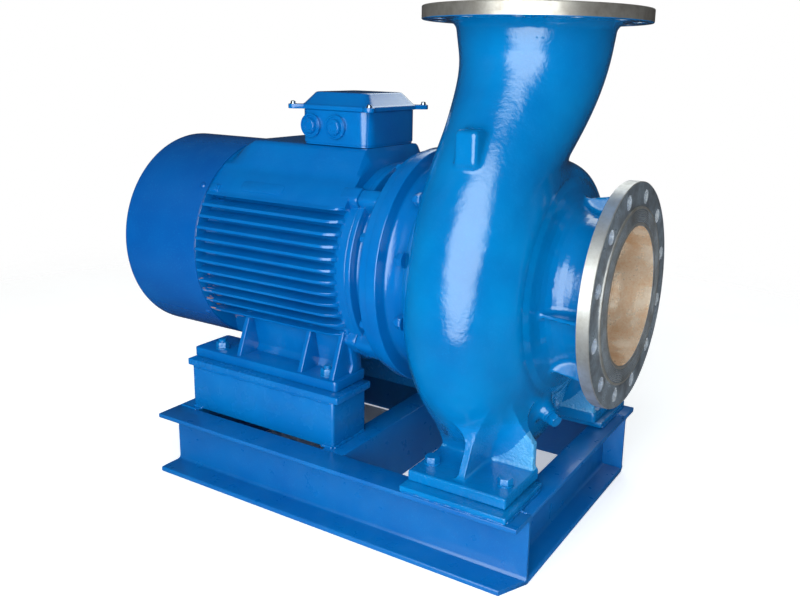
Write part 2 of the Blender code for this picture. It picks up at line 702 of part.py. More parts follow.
def dome_profile():
    """Casing round the shaft from the flange's back: nozzle, fillet, rounded rim, back face."""
    pts = [(FLANGE_BACK, 0.0), (FLANGE_BACK, NOZZLE_R + NOZZLE_FLARE), (FLANGE_BACK - FLARE_L, NOZZLE_R)]
    pts += NOZZLE_FILLET
    steps = 7
    for i in range(steps + 1):
        a = math.radians(90.0 * i / steps)
        pts.append((DOME_X + DOME_REACH * abs(math.cos(a)) ** (2.0 / DOME_POWER),
                    DOME_R - DOME_DROP + DOME_DROP * math.sin(a) ** (2.0 / DOME_POWER)))
    return pts + list(DOME_BACK) + [(CASING_BACK, 0.0)]


# Drain plug low on the suction side, screwed into a short boss of the casing.
DRAIN_SEAT = vec(0.4215, -0.075, 0.2350)
DRAIN_WAY = vec(0.843, -0.407, -0.349).normalized()
DRAIN_R = 0.013
DRAIN_HEAD = 0.017
DRAIN_BOSS_R = 0.017
DRAIN_BOSS_L = 0.060

# pad on the neck, and the space the impeller turns in: (place along the shaft, radius)
PAD_LOW = (0.289, -0.232, 0.691)
PAD_HIGH = (0.325, -0.100, 0.752)
CHAMBER = ((0.505, BORE_R), (0.420, 0.105), (0.375, 0.100), (0.372, 0.165), (0.255, 0.165),
           (0.255, COVER_R + GAP))
TUBE_SIDES, INNER_SIDES, BOSS_SIDES = 24, 20, 20


def casing():
    body = turned("volute_casing", dome_profile(), SIDES, vec(0, 0, AXIS_Z))
    path = passage()
    spiral = tube("spiral_outer", path, TUBE_SIDES)
    boolean(body, spiral, "UNION")
    for i, a in enumerate(RIB_ANGLES):
        boolean(body, rib("suction_rib_%d" % i, a), "UNION")
    pad = box("neck_pad", PAD_LOW, PAD_HIGH, cutters)
    boolean(body, pad, "UNION")
    boss = cylinder("drain_boss", DRAIN_SEAT - DRAIN_WAY * DRAIN_BOSS_L, DRAIN_SEAT - DRAIN_WAY * GAP,
                    DRAIN_BOSS_R, BOSS_SIDES, collection=cutters)
    boolean(body, boss, "UNION")
    top = DISCH_FACE - RAISED_T - FLANGE_T - GAP
    wide = FLANGE_R + CLEAR
    trim = box("neck_trim", (DISCH_X - wide, -wide, top), (DISCH_X + wide, wide, DISCH_FACE + CLEAR), cutters)
    boolean(body, trim, "DIFFERENCE")
    inner = tube("spiral_inner", path[2:] + [(DISCH_X, 0.0, DISCH_FACE + CLEAR, NECK_R)], INNER_SIDES, INNER)
    boolean(body, inner, "DIFFERENCE")
    front, rear = SUCTION_FACE + CLEAR, CASING_BACK - CLEAR
    chamber = turned("chamber", [(front, 0.0), (front, BORE_R), *CHAMBER, (rear, COVER_R + GAP), (rear, 0.0)],
                     SIDES, vec(0, 0, AXIS_Z), "X", cutters)
    boolean(body, chamber, "DIFFERENCE")
    return finish(body)


casing()


def pipe_flange(name, centre, direction):
    """Flat flange with a raised face, a bore and a ring of bolt holes."""
    profile = [(0.0, BORE_R), (0.0, RAISED_R), (-RAISED_T, RAISED_R), (-RAISED_T, FLANGE_R),
               (-RAISED_T - FLANGE_T, FLANGE_R), (-RAISED_T - FLANGE_T, BORE_R)]
    axis = "X" if direction.x > 0.5 else "Z"
    body = turned(name, profile, SIDES, centre, axis)
    for i in range(HOLES):
        a = math.tau * (i + 0.5) / HOLES
        u, v = HOLE_PCD_R * math.cos(a), HOLE_PCD_R * math.sin(a)
        at = centre + (vec(0, u, v) if axis == "X" else vec(u, v, 0))
        hole = cylinder("%s_hole_%02d" % (name, i), at - direction * (FLANGE_T + CLEAR),
                        at + direction * CLEAR, HOLE_R, HOLE_SIDES, collection=cutters)
        boolean(body, hole, "DIFFERENCE")
    return finish(body, (0.36, 0.34, 0.32), 0.35, 1.0)


pipe_flange("suction_flange", vec(SUCTION_FACE, 0, AXIS_Z), vec(1, 0, 0))
pipe_flange("discharge_flange", vec(DISCH_X, 0, DISCH_FACE), vec(0, 0, 1))


# Pump feet: plate, a leg wall that rises to the casing and one middle rib, on a packing plate.
# leg: (place along the shaft, height above the plate's underside); web: (distance out, height)
LEG_T = 0.016
LEG = ((FOOT_X0, 0.004), (FOOT_X1, 0.004), (FOOT_X1, 0.030), (FOOT_X1 - 0.012, 0.110),
       (FOOT_X0 + 0.020, 0.110), (FOOT_X0 + 0.004, 0.035))
WEB = ((FOOT_Y0 + 0.005, 0.010), (FOOT_Y1 - 0.012, 0.010), (FOOT_Y1 - 0.018, 0.030),
       (FOOT_Y0 + 0.060, 0.110), (FOOT_Y0 + 0.005, 0.110))
WEB_T = 0.014
DRUM_CLEAR_R = 0.236    # the feet stop this far from the shaft, clear of the dome
PACK_X0, PACK_X1 = 0.237, 0.442
PACK_Y0, PACK_Y1 = 0.150, 0.296


def pump_foot(label, side):
    y0, y1 = sorted((side * FOOT_Y0, side * FOOT_Y1))
    z = FOOT_Z0
    foot = box("pump_foot_" + label, (FOOT_X0, y0, z + GAP), (FOOT_X1, y1, z + FOOT_T))
    leg = prism("foot_leg_" + label, [(x, z + up) for x, up in LEG],
                *sorted((side * FOOT_Y0, side * (FOOT_Y0 + LEG_T))), "Y", cutters)
    boolean(foot, leg, "UNION")
    mid = (FOOT_X0 + FOOT_X1) / 2.0
    web = prism("foot_web_" + label, [(side * y, z + up) for y, up in WEB],
                mid - WEB_T / 2.0, mid + WEB_T / 2.0, "X", cutters)
    boolean(foot, web, "UNION")
    spiral = tube("foot_clear_" + label, passage(), TUBE_SIDES, 1.0, GAP)
    boolean(foot, spiral, "DIFFERENCE")
    drum = cylinder("foot_drum_" + label, vec(CASING_BACK, 0, AXIS_Z), vec(DRAIN_SEAT.x, 0, AXIS_Z),
                    DRUM_CLEAR_R, SIDES, collection=cutters)
    boolean(foot, drum, "DIFFERENCE")
    finish(foot)
    y0, y1 = sorted((side * PACK_Y0, side * PACK_Y1))
    pack = box("packing_plate_" + label, (PACK_X0, y0, BASE_H + GAP), (PACK_X1, y1, FOOT_Z0))
    finish(pack, smooth=False)


pump_foot("front", -1.0)
pump_foot("back", 1.0)


# Impeller: hub, back plate, curved vanes and a front ring round its eye.
IMPELLER_SIDES = 32
WHEEL = ((0.340, 0.022), (0.300, 0.045), (0.272, 0.120), (0.270, 0.130))     # nut side to the rim
SHROUD = ((0.398, 0.091), (0.398, 0.0975), (0.368, 0.0975), (0.352, 0.130), (0.346, 0.130), (0.360, 0.091))
VANES = 6
VANE_R0, VANE_R1 = 0.030, 0.128
VANE_SWEEP = 1.25       # radians from root to tip
VANE_T = 0.005
VANE_X0, VANE_X1 = 0.266, 0.349


def impeller():
    seat, nose = HUB_SEAT_R + GAP, NOSE_R + GAP
    back = HUB_X0 + GAP
    body = turned("impeller", [*WHEEL, (back, WHEEL[-1][1]), (back, seat), (HUB_X1 + GAP, seat),
                               (HUB_X1 + GAP, nose), (WHEEL[0][0], nose)], IMPELLER_SIDES, vec(0, 0, AXIS_Z))
    shroud = turned("impeller_shroud", SHROUD, IMPELLER_SIDES, vec(0, 0, AXIS_Z), "X", cutters)
    boolean(body, shroud, "UNION", "MANIFOLD")
    steps = 5
    for i in range(VANES):
        path = []
        for j in range(steps + 1):
            t = j / steps
            r = mix(VANE_R0, VANE_R1, t)
            a = math.tau * i / VANES - VANE_SWEEP * t
            path.append((r * math.cos(a), r * math.sin(a)))
        outline = list(path)
        for y, z in reversed(path):
            r = math.hypot(y, z)
            a = math.atan2(z, y) + VANE_T / r
            outline.append((r * math.cos(a), r * math.sin(a)))
        vane = prism("impeller_vane_%d" % i, outline, VANE_X0, VANE_X1, "X", cutters)
        vane.location.z = AXIS_Z
        boolean(body, vane, "UNION", "MANIFOLD")
    return finish(body, (0.30, 0.26, 0.22), 0.5, 0.9)


impeller()


drain = cylinder("drain_plug", DRAIN_SEAT, DRAIN_SEAT + DRAIN_WAY * DRAIN_HEAD, DRAIN_R, 6)
finish(drain)
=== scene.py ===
"""Looks of a close-coupled centrifugal pump set in blue enamel on a channel base.

Every piece is placed in the same frame as its solids: metres, +Z up, the shaft along X
at z = 0.462, the suction flange toward +X. The sections follow the set as it is built
up from the floor.
"""

import math

import bpy
import numpy as np
from mathutils import Matrix


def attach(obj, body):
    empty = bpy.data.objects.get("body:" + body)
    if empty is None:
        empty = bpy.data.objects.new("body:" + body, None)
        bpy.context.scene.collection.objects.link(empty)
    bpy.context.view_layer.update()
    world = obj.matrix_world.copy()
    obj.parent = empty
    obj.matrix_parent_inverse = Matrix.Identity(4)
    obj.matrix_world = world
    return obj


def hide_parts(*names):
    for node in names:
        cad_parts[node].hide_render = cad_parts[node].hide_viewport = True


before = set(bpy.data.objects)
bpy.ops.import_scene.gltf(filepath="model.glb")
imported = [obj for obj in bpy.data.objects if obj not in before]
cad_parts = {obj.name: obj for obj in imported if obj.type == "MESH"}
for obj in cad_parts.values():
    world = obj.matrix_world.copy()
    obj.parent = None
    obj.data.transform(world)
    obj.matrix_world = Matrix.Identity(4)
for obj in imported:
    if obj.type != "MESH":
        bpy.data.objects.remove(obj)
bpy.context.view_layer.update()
scene = bpy.context.scene

# Base frame: five lengths of rolled steel channel with their flanges outward,
# welded into a rectangle with one cross member, and brushed with blue enamel.

BASE_X0, BASE_X1 = -0.360, 0.463
BASE_HALF, BASE_H = 0.298, 0.130
CHANNEL_WEB, CHANNEL_FLANGE = 0.0065, 0.0095
LONG_WIDTH, END_WIDTH = 0.058, 0.050
CROSS_X = 0.075
# Neighbouring pieces stand this far apart.
GAP = 0.0003


def linear(colour):
    """Linear values of an sRGB hex colour: v / 12.92 up to 0.04045, else
    ((v + 0.055) / 1.055) to the power 2.4."""
    v = np.array([int(colour[i:i + 2], 16) for i in (1, 3, 5)]) / 255.0
    return tuple(np.where(v <= 0.04045, v / 12.92, ((v + 0.055) / 1.055) ** 2.4)) + (1.0,)


def wire(tree, node, inputs):
    """Link each named input of a node to an output socket, or set it to a value."""
    for key, value in inputs.items():
        if isinstance(value, bpy.types.NodeSocket):
            tree.links.new(value, node.inputs[key])
        else:
            node.inputs[key].default_value = value


def add(tree, kind, out, inputs=(), stops=(), **settings):
    """Add one node, set its properties, wire its inputs and return the output that is asked for.
    A colour ramp is given its stops: (position, sRGB hex or grey)."""
    n = tree.nodes.new("ShaderNode" + kind)
    for key, value in settings.items():
        setattr(n, key, value)
    wire(tree, n, dict(inputs))
    for i, (at, colour) in enumerate(stops):
        e = n.color_ramp.elements[i] if i < 2 else n.color_ramp.elements.new(at)
        e.position = at
        e.color = linear(colour) if isinstance(colour, str) else (colour, colour, colour, 1.0)
    return n.outputs[out]


def new_finish(name):
    """New material: itself, its nodes, its skin, and the object coordinates in metres."""
    mat = bpy.data.materials.new(name)
    mat.use_nodes = True
    t = mat.node_tree
    return mat, t, t.nodes["Principled BSDF"], add(t, "TexCoord", "Object")


def blue_enamel(name, wave, crinkle, grain, rust=None, rough=(0.11, 0.19), tones=("#005AA2", "#0065AB"),
                coat=0.6):
    """Gloss alkyd enamel, brushed or sprayed: a saturated blue film with a clear skin. wave,
    crinkle and grain are (period, height) in mm of three scales of relief: the steel's own
    unevenness, the brushed film's orange peel, and the grit under it. The tone drifts over
    111 mm with the film's thickness, paler flecks of 2.4 mm show where it is thin, in patches
    of 29 mm, and dust dulls the top faces. rust is two ranges in metres, (x0, x1) and (z0, z1):
    streaks of bare orange metal, 5.9 mm wide, run along X from x0. They fade out toward x1 and
    toward z1, and there are none below z0."""
    mat, t, skin, at = new_finish(name)
    drift = add(t, "TexNoise", "Fac", {"Vector": at, "Scale": 1000 / 111.1, "Detail": 5.0})
    patch = add(t, "TexNoise", "Fac", {"Vector": at, "Scale": 1000 / 29.41, "Detail": 6.0})
    fleck = add(t, "TexNoise", "Fac", {"Vector": at, "Scale": 1000 / 2.381, "Detail": 2.0})
    tone = add(t, "ValToRGB", 0, {"Fac": drift}, ((0.30, tones[0]), (0.70, tones[1])))
    fleck = add(t, "ValToRGB", 0, {"Fac": fleck}, ((0.56, 0.0), (0.74, 0.50)))
    thin = add(t, "ValToRGB", 0, {"Fac": patch}, ((0.42, 0.25), (0.66, 1.0)))
    thin = add(t, "Math", 0, {0: fleck, 1: thin}, operation="MULTIPLY")
    tone = add(t, "Mix", "Result", {"Factor": thin, "A": tone, "B": linear("#0A7CBE")}, data_type="RGBA")
    up = add(t, "SeparateXYZ", "Z", {"Vector": add(t, "NewGeometry", "Normal")})
    top = add(t, "ValToRGB", 0, {"Fac": up}, ((0.80, 0.0), (1.0, 1.0)))
    dust = add(t, "ValToRGB", 0, {"Fac": patch}, ((0.45, 0.0), (0.75, 0.20)))
    dust = add(t, "Math", 0, {0: top, 1: dust}, operation="MULTIPLY")
    tone = add(t, "Mix", "Result", {"Factor": dust, "A": tone, "B": linear("#2A6DA8")}, data_type="RGBA")
    shine = add(t, "ValToRGB", 0, {"Fac": patch}, ((0.3, rough[0]), (0.7, rough[1])))
    if rust:
        (x0, x1), (z0, z1) = rust
        x = add(t, "SeparateXYZ", "X", {"Vector": at})
        z = add(t, "SeparateXYZ", "Z", {"Vector": at})
        near = add(t, "MapRange", "Result",
                   {"Value": x, "From Min": x0, "From Max": x1, "To Min": 1.0, "To Max": 0.0})
        low = add(t, "MapRange", "Result",
                  {"Value": z, "From Min": z0, "From Max": z1, "To Min": 1.0, "To Max": 0.0})
        above_feet = add(t, "Math", 0, {0: z, 1: z0}, operation="GREATER_THAN")
        streak = add(t, "Mapping", "Vector", {"Vector": at, "Scale": (0.22, 1.0, 1.0)})
        bite = add(t, "TexNoise", "Fac", {"Vector": streak, "Scale": 1000 / 5.882, "Detail": 6.0})
        bare = add(t, "ValToRGB", 0, {"Fac": bite}, ((0.50, 0.0), (0.62, 1.0)))
        for limit in (near, low, above_feet):
            bare = add(t, "Math", 0, {0: bare, 1: limit}, operation="MULTIPLY")
        bare = add(t, "ValToRGB", 0, {"Fac": bare}, ((0.16, 0.0), (0.34, 0.85)))
        tone = add(t, "Mix", "Result", {"Factor": bare, "A": tone, "B": linear("#B98463")}, data_type="RGBA")
        dull = (0.7, 0.7, 0.7, 1.0)
        shine = add(t, "Mix", "Result", {"Factor": bare, "A": shine, "B": dull}, data_type="RGBA")
    bent = add(t, "NewGeometry", "Normal")
    for (period, height), detail in ((wave, 2.0), (crinkle, 4.0), (grain, 2.0)):
        relief = add(t, "TexNoise", "Fac", {"Vector": at, "Scale": 1000.0 / period, "Detail": detail,
                                            "Distortion": 0.3})
        bent = add(t, "Bump", "Normal", {"Height": relief, "Distance": height / 1000.0, "Normal": bent})
    wire(t, skin, {"Base Color": tone, "Roughness": shine, "IOR": 1.50, "Coat Weight": coat,
                   "Coat Roughness": 0.05, "Normal": bent, "Coat Normal": bent})
    return mat


def rounded(corners, radius, steps=3):
    """Closed outline whose corners are each a quadratic curve: (1-s)^2 start + 2s(1-s) corner
    + s^2 end, with start and end the given radius before and after the corner."""
    p = np.asarray(corners, float)
    r = np.broadcast_to(np.asarray(radius, float), (len(p),))[:, None]
    back = np.roll(p, 1, 0) - p
    ahead = np.roll(p, -1, 0) - p
    start = p + back / np.linalg.norm(back, axis=1, keepdims=True) * r
    end = p + ahead / np.linalg.norm(ahead, axis=1, keepdims=True) * r
    s = np.linspace(0.0, 1.0, steps + 1)[None, :, None]
    curve = (1 - s) ** 2 * start[:, None] + 2 * s * (1 - s) * p[:, None] + s * s * end[:, None]
    return curve.reshape(-1, 2)


def shrunk(outline, by):
    """The outline moved inward along the mean of the normals of the two edges at each point."""
    p = np.asarray(outline, float)
    area = np.sum(p[:, 0] * np.roll(p[:, 1], -1) - p[:, 1] * np.roll(p[:, 0], -1))
    d = np.roll(p, -1, 0) - p
    n = np.stack([-d[:, 1], d[:, 0]], 1) / np.maximum(np.linalg.norm(d, axis=1), 1e-9)[:, None]
    m = n + np.roll(n, 1, 0)
    m /= np.maximum(np.linalg.norm(m, axis=1), 1e-9)[:, None]
    return p + m * by * np.sign(area)


def rings(stack):
    """Shape from a stack of closed rings, an array (rings, points, 3): quads between
    neighbouring rings and a flat cap on the first and the last."""
    k, n, _ = stack.shape
    i = np.arange((k - 1) * n).reshape(k - 1, n)
    quads = np.stack([i, np.roll(i, -1, 1), np.roll(i, -1, 1) + n, i + n], -1).reshape(-1, 4)
    caps = [np.arange(n)[::-1], np.arange(n) + (k - 1) * n]
    return stack.reshape(-1, 3), quads, caps


def along(outline, lo, hi, axis, edge=0.0012):
    """Straight bar of a flat outline between lo and hi on an axis, its end edges eased: the
    end rings are the outline shrunk by the edge, and again by a third of it a little further in.
    The outline is (y, z) for X, (x, z) for Y and (x, y) for Z; lo and hi may be arrays, one
    value a point, for a slanted end."""
    o = np.asarray(outline, float)
    lo = np.broadcast_to(lo, (len(o),))
    hi = np.broadcast_to(hi, (len(o),))
    sizes = [edge, edge * 0.3, 0.0, 0.0, edge * 0.3, edge]
    places = [lo, lo + edge * 0.3, lo + edge, hi - edge, hi - edge * 0.3, hi]
    flat = np.stack([shrunk(o, s) if s else o for s in sizes])
    at = np.stack(places)[..., None]
    if axis == "X":
        stack = np.concatenate([at, flat], -1)
    elif axis == "Y":
        stack = np.concatenate([flat[..., :1], at, flat[..., 1:]], -1)
    else:
        stack = np.concatenate([flat, at], -1)
    return rings(stack)


def six_volumes(v, quads, caps):
    """Six times the signed volume: the sum of a . (b x c) over the faces' fans of triangles."""
    a, b, c, d = (v[quads[:, i]] for i in range(4))
    total = np.sum(a * np.cross(b, c)) + np.sum(a * np.cross(c, d))
    for face in caps:
        p = v[face]
        total += np.sum(p[:1] * np.cross(p[1:-1], p[2:]))
    return total


def piece(name, shape, mat, slot, *nodes, crease=32.0):
    """Make a piece of a shape (points, four-sided faces, end faces), facing out, riding on the
    set, with its finish, and standing for the CAD nodes that are named. Edges that turn by more
    than the crease, in degrees, stay sharp."""
    v, quads, caps = shape
    if six_volumes(v, quads, caps) < 0.0:
        quads = quads[:, ::-1]
        caps = [face[::-1] for face in caps]
    mesh = bpy.data.meshes.new(name)
    loops = np.concatenate([quads.reshape(-1)] + list(caps)).astype(np.int32)
    counts = np.concatenate([np.full(len(quads), 4), [len(f) for f in caps]]).astype(np.int32)
    mesh.vertices.add(len(v))
    mesh.vertices.foreach_set("co", v.astype(np.float32).reshape(-1))
    mesh.loops.add(len(loops))
    mesh.loops.foreach_set("vertex_index", loops)
    mesh.polygons.add(len(counts))
    mesh.polygons.foreach_set("loop_start", np.concatenate([[0], np.cumsum(counts)[:-1]]).astype(np.int32))
    mesh.update(calc_edges=True)
    mesh.validate()
    mesh.shade_smooth()
    smooth = np.arange(len(counts)) < len(quads)
    mesh.polygons.foreach_set("use_smooth", smooth)
    if crease is not None:
        mesh.set_sharp_from_angle(angle=math.radians(crease))
    obj = bpy.data.objects.new(name, mesh)
    scene.collection.objects.link(obj)
    mesh.materials.append(mat)
    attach(obj, "root")
    if nodes:
        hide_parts(*nodes)
    return obj


def channel(width):
    """Rolled channel section with its web's face at 0 and its flanges toward minus: eased
    toes and a fillet of 7.5 mm in each root."""
    w, h, web, fl = width, BASE_H, CHANNEL_WEB, CHANNEL_FLANGE
    corners = [(0, 0), (0, h), (-w, h), (-w, h - fl), (-web, h - fl), (-web, fl), (-w, fl), (-w, 0)]
    return rounded(corners, [0.0015, 0.0015, 0.0010, 0.0035, 0.0075, 0.0075, 0.0035, 0.0010])


# Smooth mill skin under thin paint: an even sheen with long, soft reflections.
channel_paint = blue_enamel("blue_enamel_on_rolled_channel", (110.0, 0.9), (8.0, 0.05), (1.3, 0.014),
                            rough=(0.26, 0.38), coat=0.2)


def long_beam(name, side, node):
    """Channel along X with its flanges outward. The lower flange's end is cut on a slant."""
    o = channel(LONG_WIDTH)
    y = side * (BASE_HALF - LONG_WIDTH - o[:, 0])
    outline = np.stack([y, o[:, 1]], 1)
    slant_y = 0.250
    slant = BASE_X1 - 0.004 - (np.abs(y) - slant_y) * 0.48
    end = np.where((o[:, 1] < 0.03) & (np.abs(y) > slant_y), np.minimum(slant, BASE_X1), BASE_X1)
    piece(name, along(outline, BASE_X0, end, "X", 0.0006), channel_paint, "blue_enamel", node)


def cross_beam(name, web_x, side, node):
    """Channel along Y between the long beams."""
    o = channel(END_WIDTH)
    outline = np.stack([web_x - side * o[:, 0], o[:, 1]], 1)
    half = BASE_HALF - LONG_WIDTH - GAP
    piece(name, along(outline, -half, half, "Y", 0.0006), channel_paint, "blue_enamel", node)


long_beam("front_beam", -1.0, "base_front_beam")
long_beam("back_beam", 1.0, "base_back_beam")
cross_beam("motor_end_beam", BASE_X0 + END_WIDTH, -1.0, "base_motor_end_beam")
cross_beam("suction_end_beam", BASE_X1 - END_WIDTH, 1.0, "base_suction_end_beam")
cross_beam("middle_beam", CROSS_X, -1.0, "base_cross_beam")


# Weld beads: hand-laid fillet welds of steel, painted over with the frame. Each is a round bead
# with a ripple every 4 mm or so, half sunk in the corner between the two steels.

def joined(*shapes):
    """Several shapes as one, each left a closed body of its own."""
    verts, quads, caps, n = [], [], [], 0
    for v, q, c in shapes:
        verts.append(v)
        quads.append(q + n)
        caps += [face + n for face in c]
        n += len(v)
    return np.concatenate(verts), np.concatenate(quads), caps


def bead(start, end, radius, seed):
    """Tube along a line with radius r (1 + 0.20 |sin(pi s / 4.2 mm)| + a slow wobble). It drifts a
    little to its side, and its end rings shrink to a third."""
    a, b = np.asarray(start, float), np.asarray(end, float)
    length = np.linalg.norm(b - a)
    d = (b - a) / length
    n = max(8, int(length / 0.0011))
    s = np.linspace(0.0, length, n)
    side = np.cross(d, [0.0, 0.0, 1.0]) if abs(d[2]) < 0.9 else np.array([1.0, 0.0, 0.0])
    side /= np.linalg.norm(side)
    up = np.cross(side, d)
    wob = 0.12 * np.sin(s * 310.0 + seed) + 0.10 * np.sin(s * 127.0 + 2.0 * seed)
    r = radius * (1.0 + 0.20 * np.abs(np.sin(math.pi * s / 0.0042)) + wob)
    r *= np.clip(np.minimum(s, length - s) / 0.004 + 0.35, 0.35, 1.0)
    beta = np.linspace(0.0, 2.0 * math.pi, 10, endpoint=False)
    drift = radius * 0.25 * np.sin(s * 90.0 + seed)
    centre = a + s[:, None] * d + drift[:, None] * up
    ring = np.cos(beta)[None, :, None] * side + np.sin(beta)[None, :, None] * up
    return rings(centre[:, None] + r[:, None, None] * ring)


WEB_Y = BASE_HALF - LONG_WIDTH
# Paint that has run thick over ripples: each highlight breaks up into beads.
weld_paint = blue_enamel("blue_enamel_on_weld", (9.0, 0.5), (3.0, 0.25), (1.0, 0.03))
base_welds = []
for sy in (-1.0, 1.0):
    y = sy * (WEB_Y - 0.001)
    for x in (BASE_X0 + END_WIDTH, CROSS_X, BASE_X1 - END_WIDTH):
        base_welds.append(bead((x, y, 0.012), (x, y, BASE_H - 0.012), 0.0030, x))
    y, z = sy * WEB_Y, BASE_H + 0.0002
    for x0, x1 in ((BASE_X0 + 0.003, BASE_X0 + END_WIDTH - 0.002),
                   (BASE_X1 - END_WIDTH + 0.002, BASE_X1 - 0.006)):
        base_welds.append(bead((x0, y, z), (x1, y, z), 0.0024, x1))
piece("base_welds", joined(*base_welds), weld_paint, "blue_enamel", crease=60.0)

# Motor pedestals: boxes folded and welded from steel plate, each with a thicker machined plate
# welded on top to carry the motor's feet.

AXIS = 0.462
FOOT_LOW = AXIS - 0.2256
PED_X0, PED_X1, PED_Y0, PED_Y1 = -0.329, 0.043, 0.123, 0.229
PLATE_T = 0.0137
# Flat plate: a broad, calm sheen, a little brighter than the channels'.
pedestal_paint = blue_enamel("blue_enamel_on_folded_plate", (130.0, 1.2), (8.0, 0.07), (1.4, 0.018),
                             rough=(0.20, 0.32), tones=("#005FA6", "#006AB0"), coat=0.35)


def pedestal(label, side):
    """Box, top plate and weld beads of one pedestal, at the front (side -1) or the back (+1)."""
    y0, y1 = sorted((side * PED_Y0, side * PED_Y1))
    box = rounded([(PED_X0, y0), (PED_X1, y0), (PED_X1, y1), (PED_X0, y1)], 0.006, 4)
    under = FOOT_LOW - PLATE_T
    piece("pedestal_" + label, along(box, BASE_H + GAP, under - GAP, "Z", 0.001),
          pedestal_paint, "blue_enamel", "motor_pedestal_" + label)
    x0, x1, ya, yb = PED_X0 - 0.011, PED_X1 + 0.011, y0 - 0.002, y1 + 0.002
    plate = rounded([(x0, ya), (x1, ya), (x1, yb), (x0, yb)], 0.003, 3)
    piece("pedestal_top_" + label, along(plate, under, FOOT_LOW - GAP, "Z", 0.0014),
          pedestal_paint, "blue_enamel", "pedestal_plate_" + label)
    face = y0 if side < 0 else y1
    z = under - 0.001
    runs = [((PED_X0 + 0.004, face, z), (PED_X1 - 0.004, face, z), 0.0026, side)]
    runs += [((x, y0 + 0.004, z), (x, y1 - 0.004, z), 0.0026, seed) for x, seed in ((PED_X0, 2), (PED_X1, 3))]
    z = BASE_H + 0.001
    runs += [((x, y0 + 0.003, z), (x, y1 - 0.003, z), 0.0032, seed) for x, seed in ((PED_X0, 4), (PED_X1, 5))]
    runs += [((x0, face, z), (x1, face, z), 0.0032, seed)
             for x0, x1, seed in ((PED_X1 - 0.030, PED_X1 - 0.001, 6), (PED_X0 + 0.001, PED_X0 + 0.026, 7))]
    welds = [bead(*run) for run in runs]
    piece("pedestal_welds_" + label, joined(*welds), weld_paint, "blue_enamel", crease=60.0)


pedestal("front", -1.0)
pedestal("back", 1.0)

# Motor frame: one grey iron casting with twelve fins a side, a plain band over the top, a raised
# seat for the terminal box, and feet on webbed walls. It is painted, and rust shows at the
# fins' rear ends.

FRAME_X0, FRAME_X1 = -0.3177, 0.030
CORE, TIP, BAND, SEAT = 0.191, 0.2190, 0.2160, 0.2290
FIN_PITCH, FIN_T, DRAFT = 0.0225, 0.0056, 0.0056
RUST_X, RUST_Z = (-0.318, -0.270), (0.300, 0.470)
# Sand-cast iron: a sheen that lumps of 5 mm break up, and orange metal at the fins' rear ends.
frame_paint = blue_enamel("blue_enamel_on_motor_casting", (36.0, 0.9), (5.0, 0.26), (1.6, 0.06),
                          rust=(RUST_X, RUST_Z))


def fin_row(z, core, tip):
    """Corner points of the fins at heights z: down the root, out to the tip, back up the
    root, with the root and tip on circles of the given radii."""
    t = FIN_T / 2.0
    low, high = z - t - DRAFT, z + t + DRAFT
    root_low = np.sqrt(core ** 2 - low ** 2)
    root_high = np.sqrt(core ** 2 - high ** 2)
    tip_low = np.sqrt(np.maximum(tip, core + 0.0004) ** 2 - (z - t) ** 2)
    tip_high = np.sqrt(np.maximum(tip, core + 0.0004) ** 2 - (z + t) ** 2)
    return np.stack([np.stack([root_low, low], -1), np.stack([tip_low, z - t], -1),
                     np.stack([tip_high, z + t], -1), np.stack([root_high, high], -1)], 1).reshape(-1, 2)


def frame_section(tip):
    """Half section (y, z) about the shaft from the bottom to the top, mirrored: bottom fins, a gap
    for the foot, side fins, the plain band, and the seat. The top fin has no upper flank, so the
    band runs down onto it."""
    under = fin_row((np.arange(5) + 0.5) * FIN_PITCH, CORE, tip)[:, ::-1] * [1.0, -1.0]
    a = np.radians([53.0, 50.0, 47.5])
    gap = np.stack([CORE * np.cos(a), -CORE * np.sin(a)], 1)
    sides = fin_row((np.arange(12) - 5.5) * FIN_PITCH, CORE, tip)[:-2]
    a = np.radians(np.arange(36.0, 54.0, 2.5))
    band = np.stack([BAND * np.cos(a), BAND * np.sin(a)], 1)
    half = np.concatenate([under, gap, sides, band, [(0.0915, SEAT - 0.0005), (0.060, SEAT), (0.030, SEAT)]])
    ease = np.full(len(half), 0.0011)
    ease[-4:] = 0.0120, 0.0110, 0.0050, 0.0050
    whole = np.concatenate([half, half[::-1] * [-1.0, 1.0]])
    return rounded(whole, np.concatenate([ease, ease[::-1]]), 4)


def finned_barrel():
    """The section carried along the shaft. Toward the drive end the fins sink into the core:
    tip = core + (full height) * sqrt(1 - u^2.2). The seat's height over the band is scaled by
    r^2 (3 - 2 r) over its rear 50 mm, and falls in a straight line to nothing at its front."""
    x = np.concatenate([FRAME_X0 + np.array([0.0, 0.004, 0.009, 0.015, 0.021]),
                        np.linspace(-0.290, -0.020, 12), np.linspace(-0.014, 0.0195, 9),
                        [0.0198, 0.0205, 0.025, FRAME_X1]])
    u = np.clip((x + 0.016) / (FRAME_X1 + 0.0165), 0.0, 1.0)
    tips = CORE + (TIP - CORE) * np.sqrt(np.maximum(0.0, 1.0 - u ** 2.2))
    stack = np.stack([np.concatenate([np.full((len(s), 1), xi), s], 1)
                      for xi, s in zip(x, map(frame_section, tips))])
    radius = np.hypot(stack[..., 1], stack[..., 2])
    rise = np.clip((x - FRAME_X0 + 0.005) / 0.056, 0.0, 1.0)
    fall = (np.interp(x, [0.0195, FRAME_X1], [1.0, 0.0]) * rise * rise * (3.0 - 2.0 * rise))[:, None]
    over = (radius > BAND) & (stack[..., 2] > 0.18)
    lowered = np.where(over, (BAND + (radius - BAND) * fall) / radius, 1.0)
    stack[..., 1:] *= lowered[..., None]
    stack[..., 2] += AXIS
    return rings(stack)


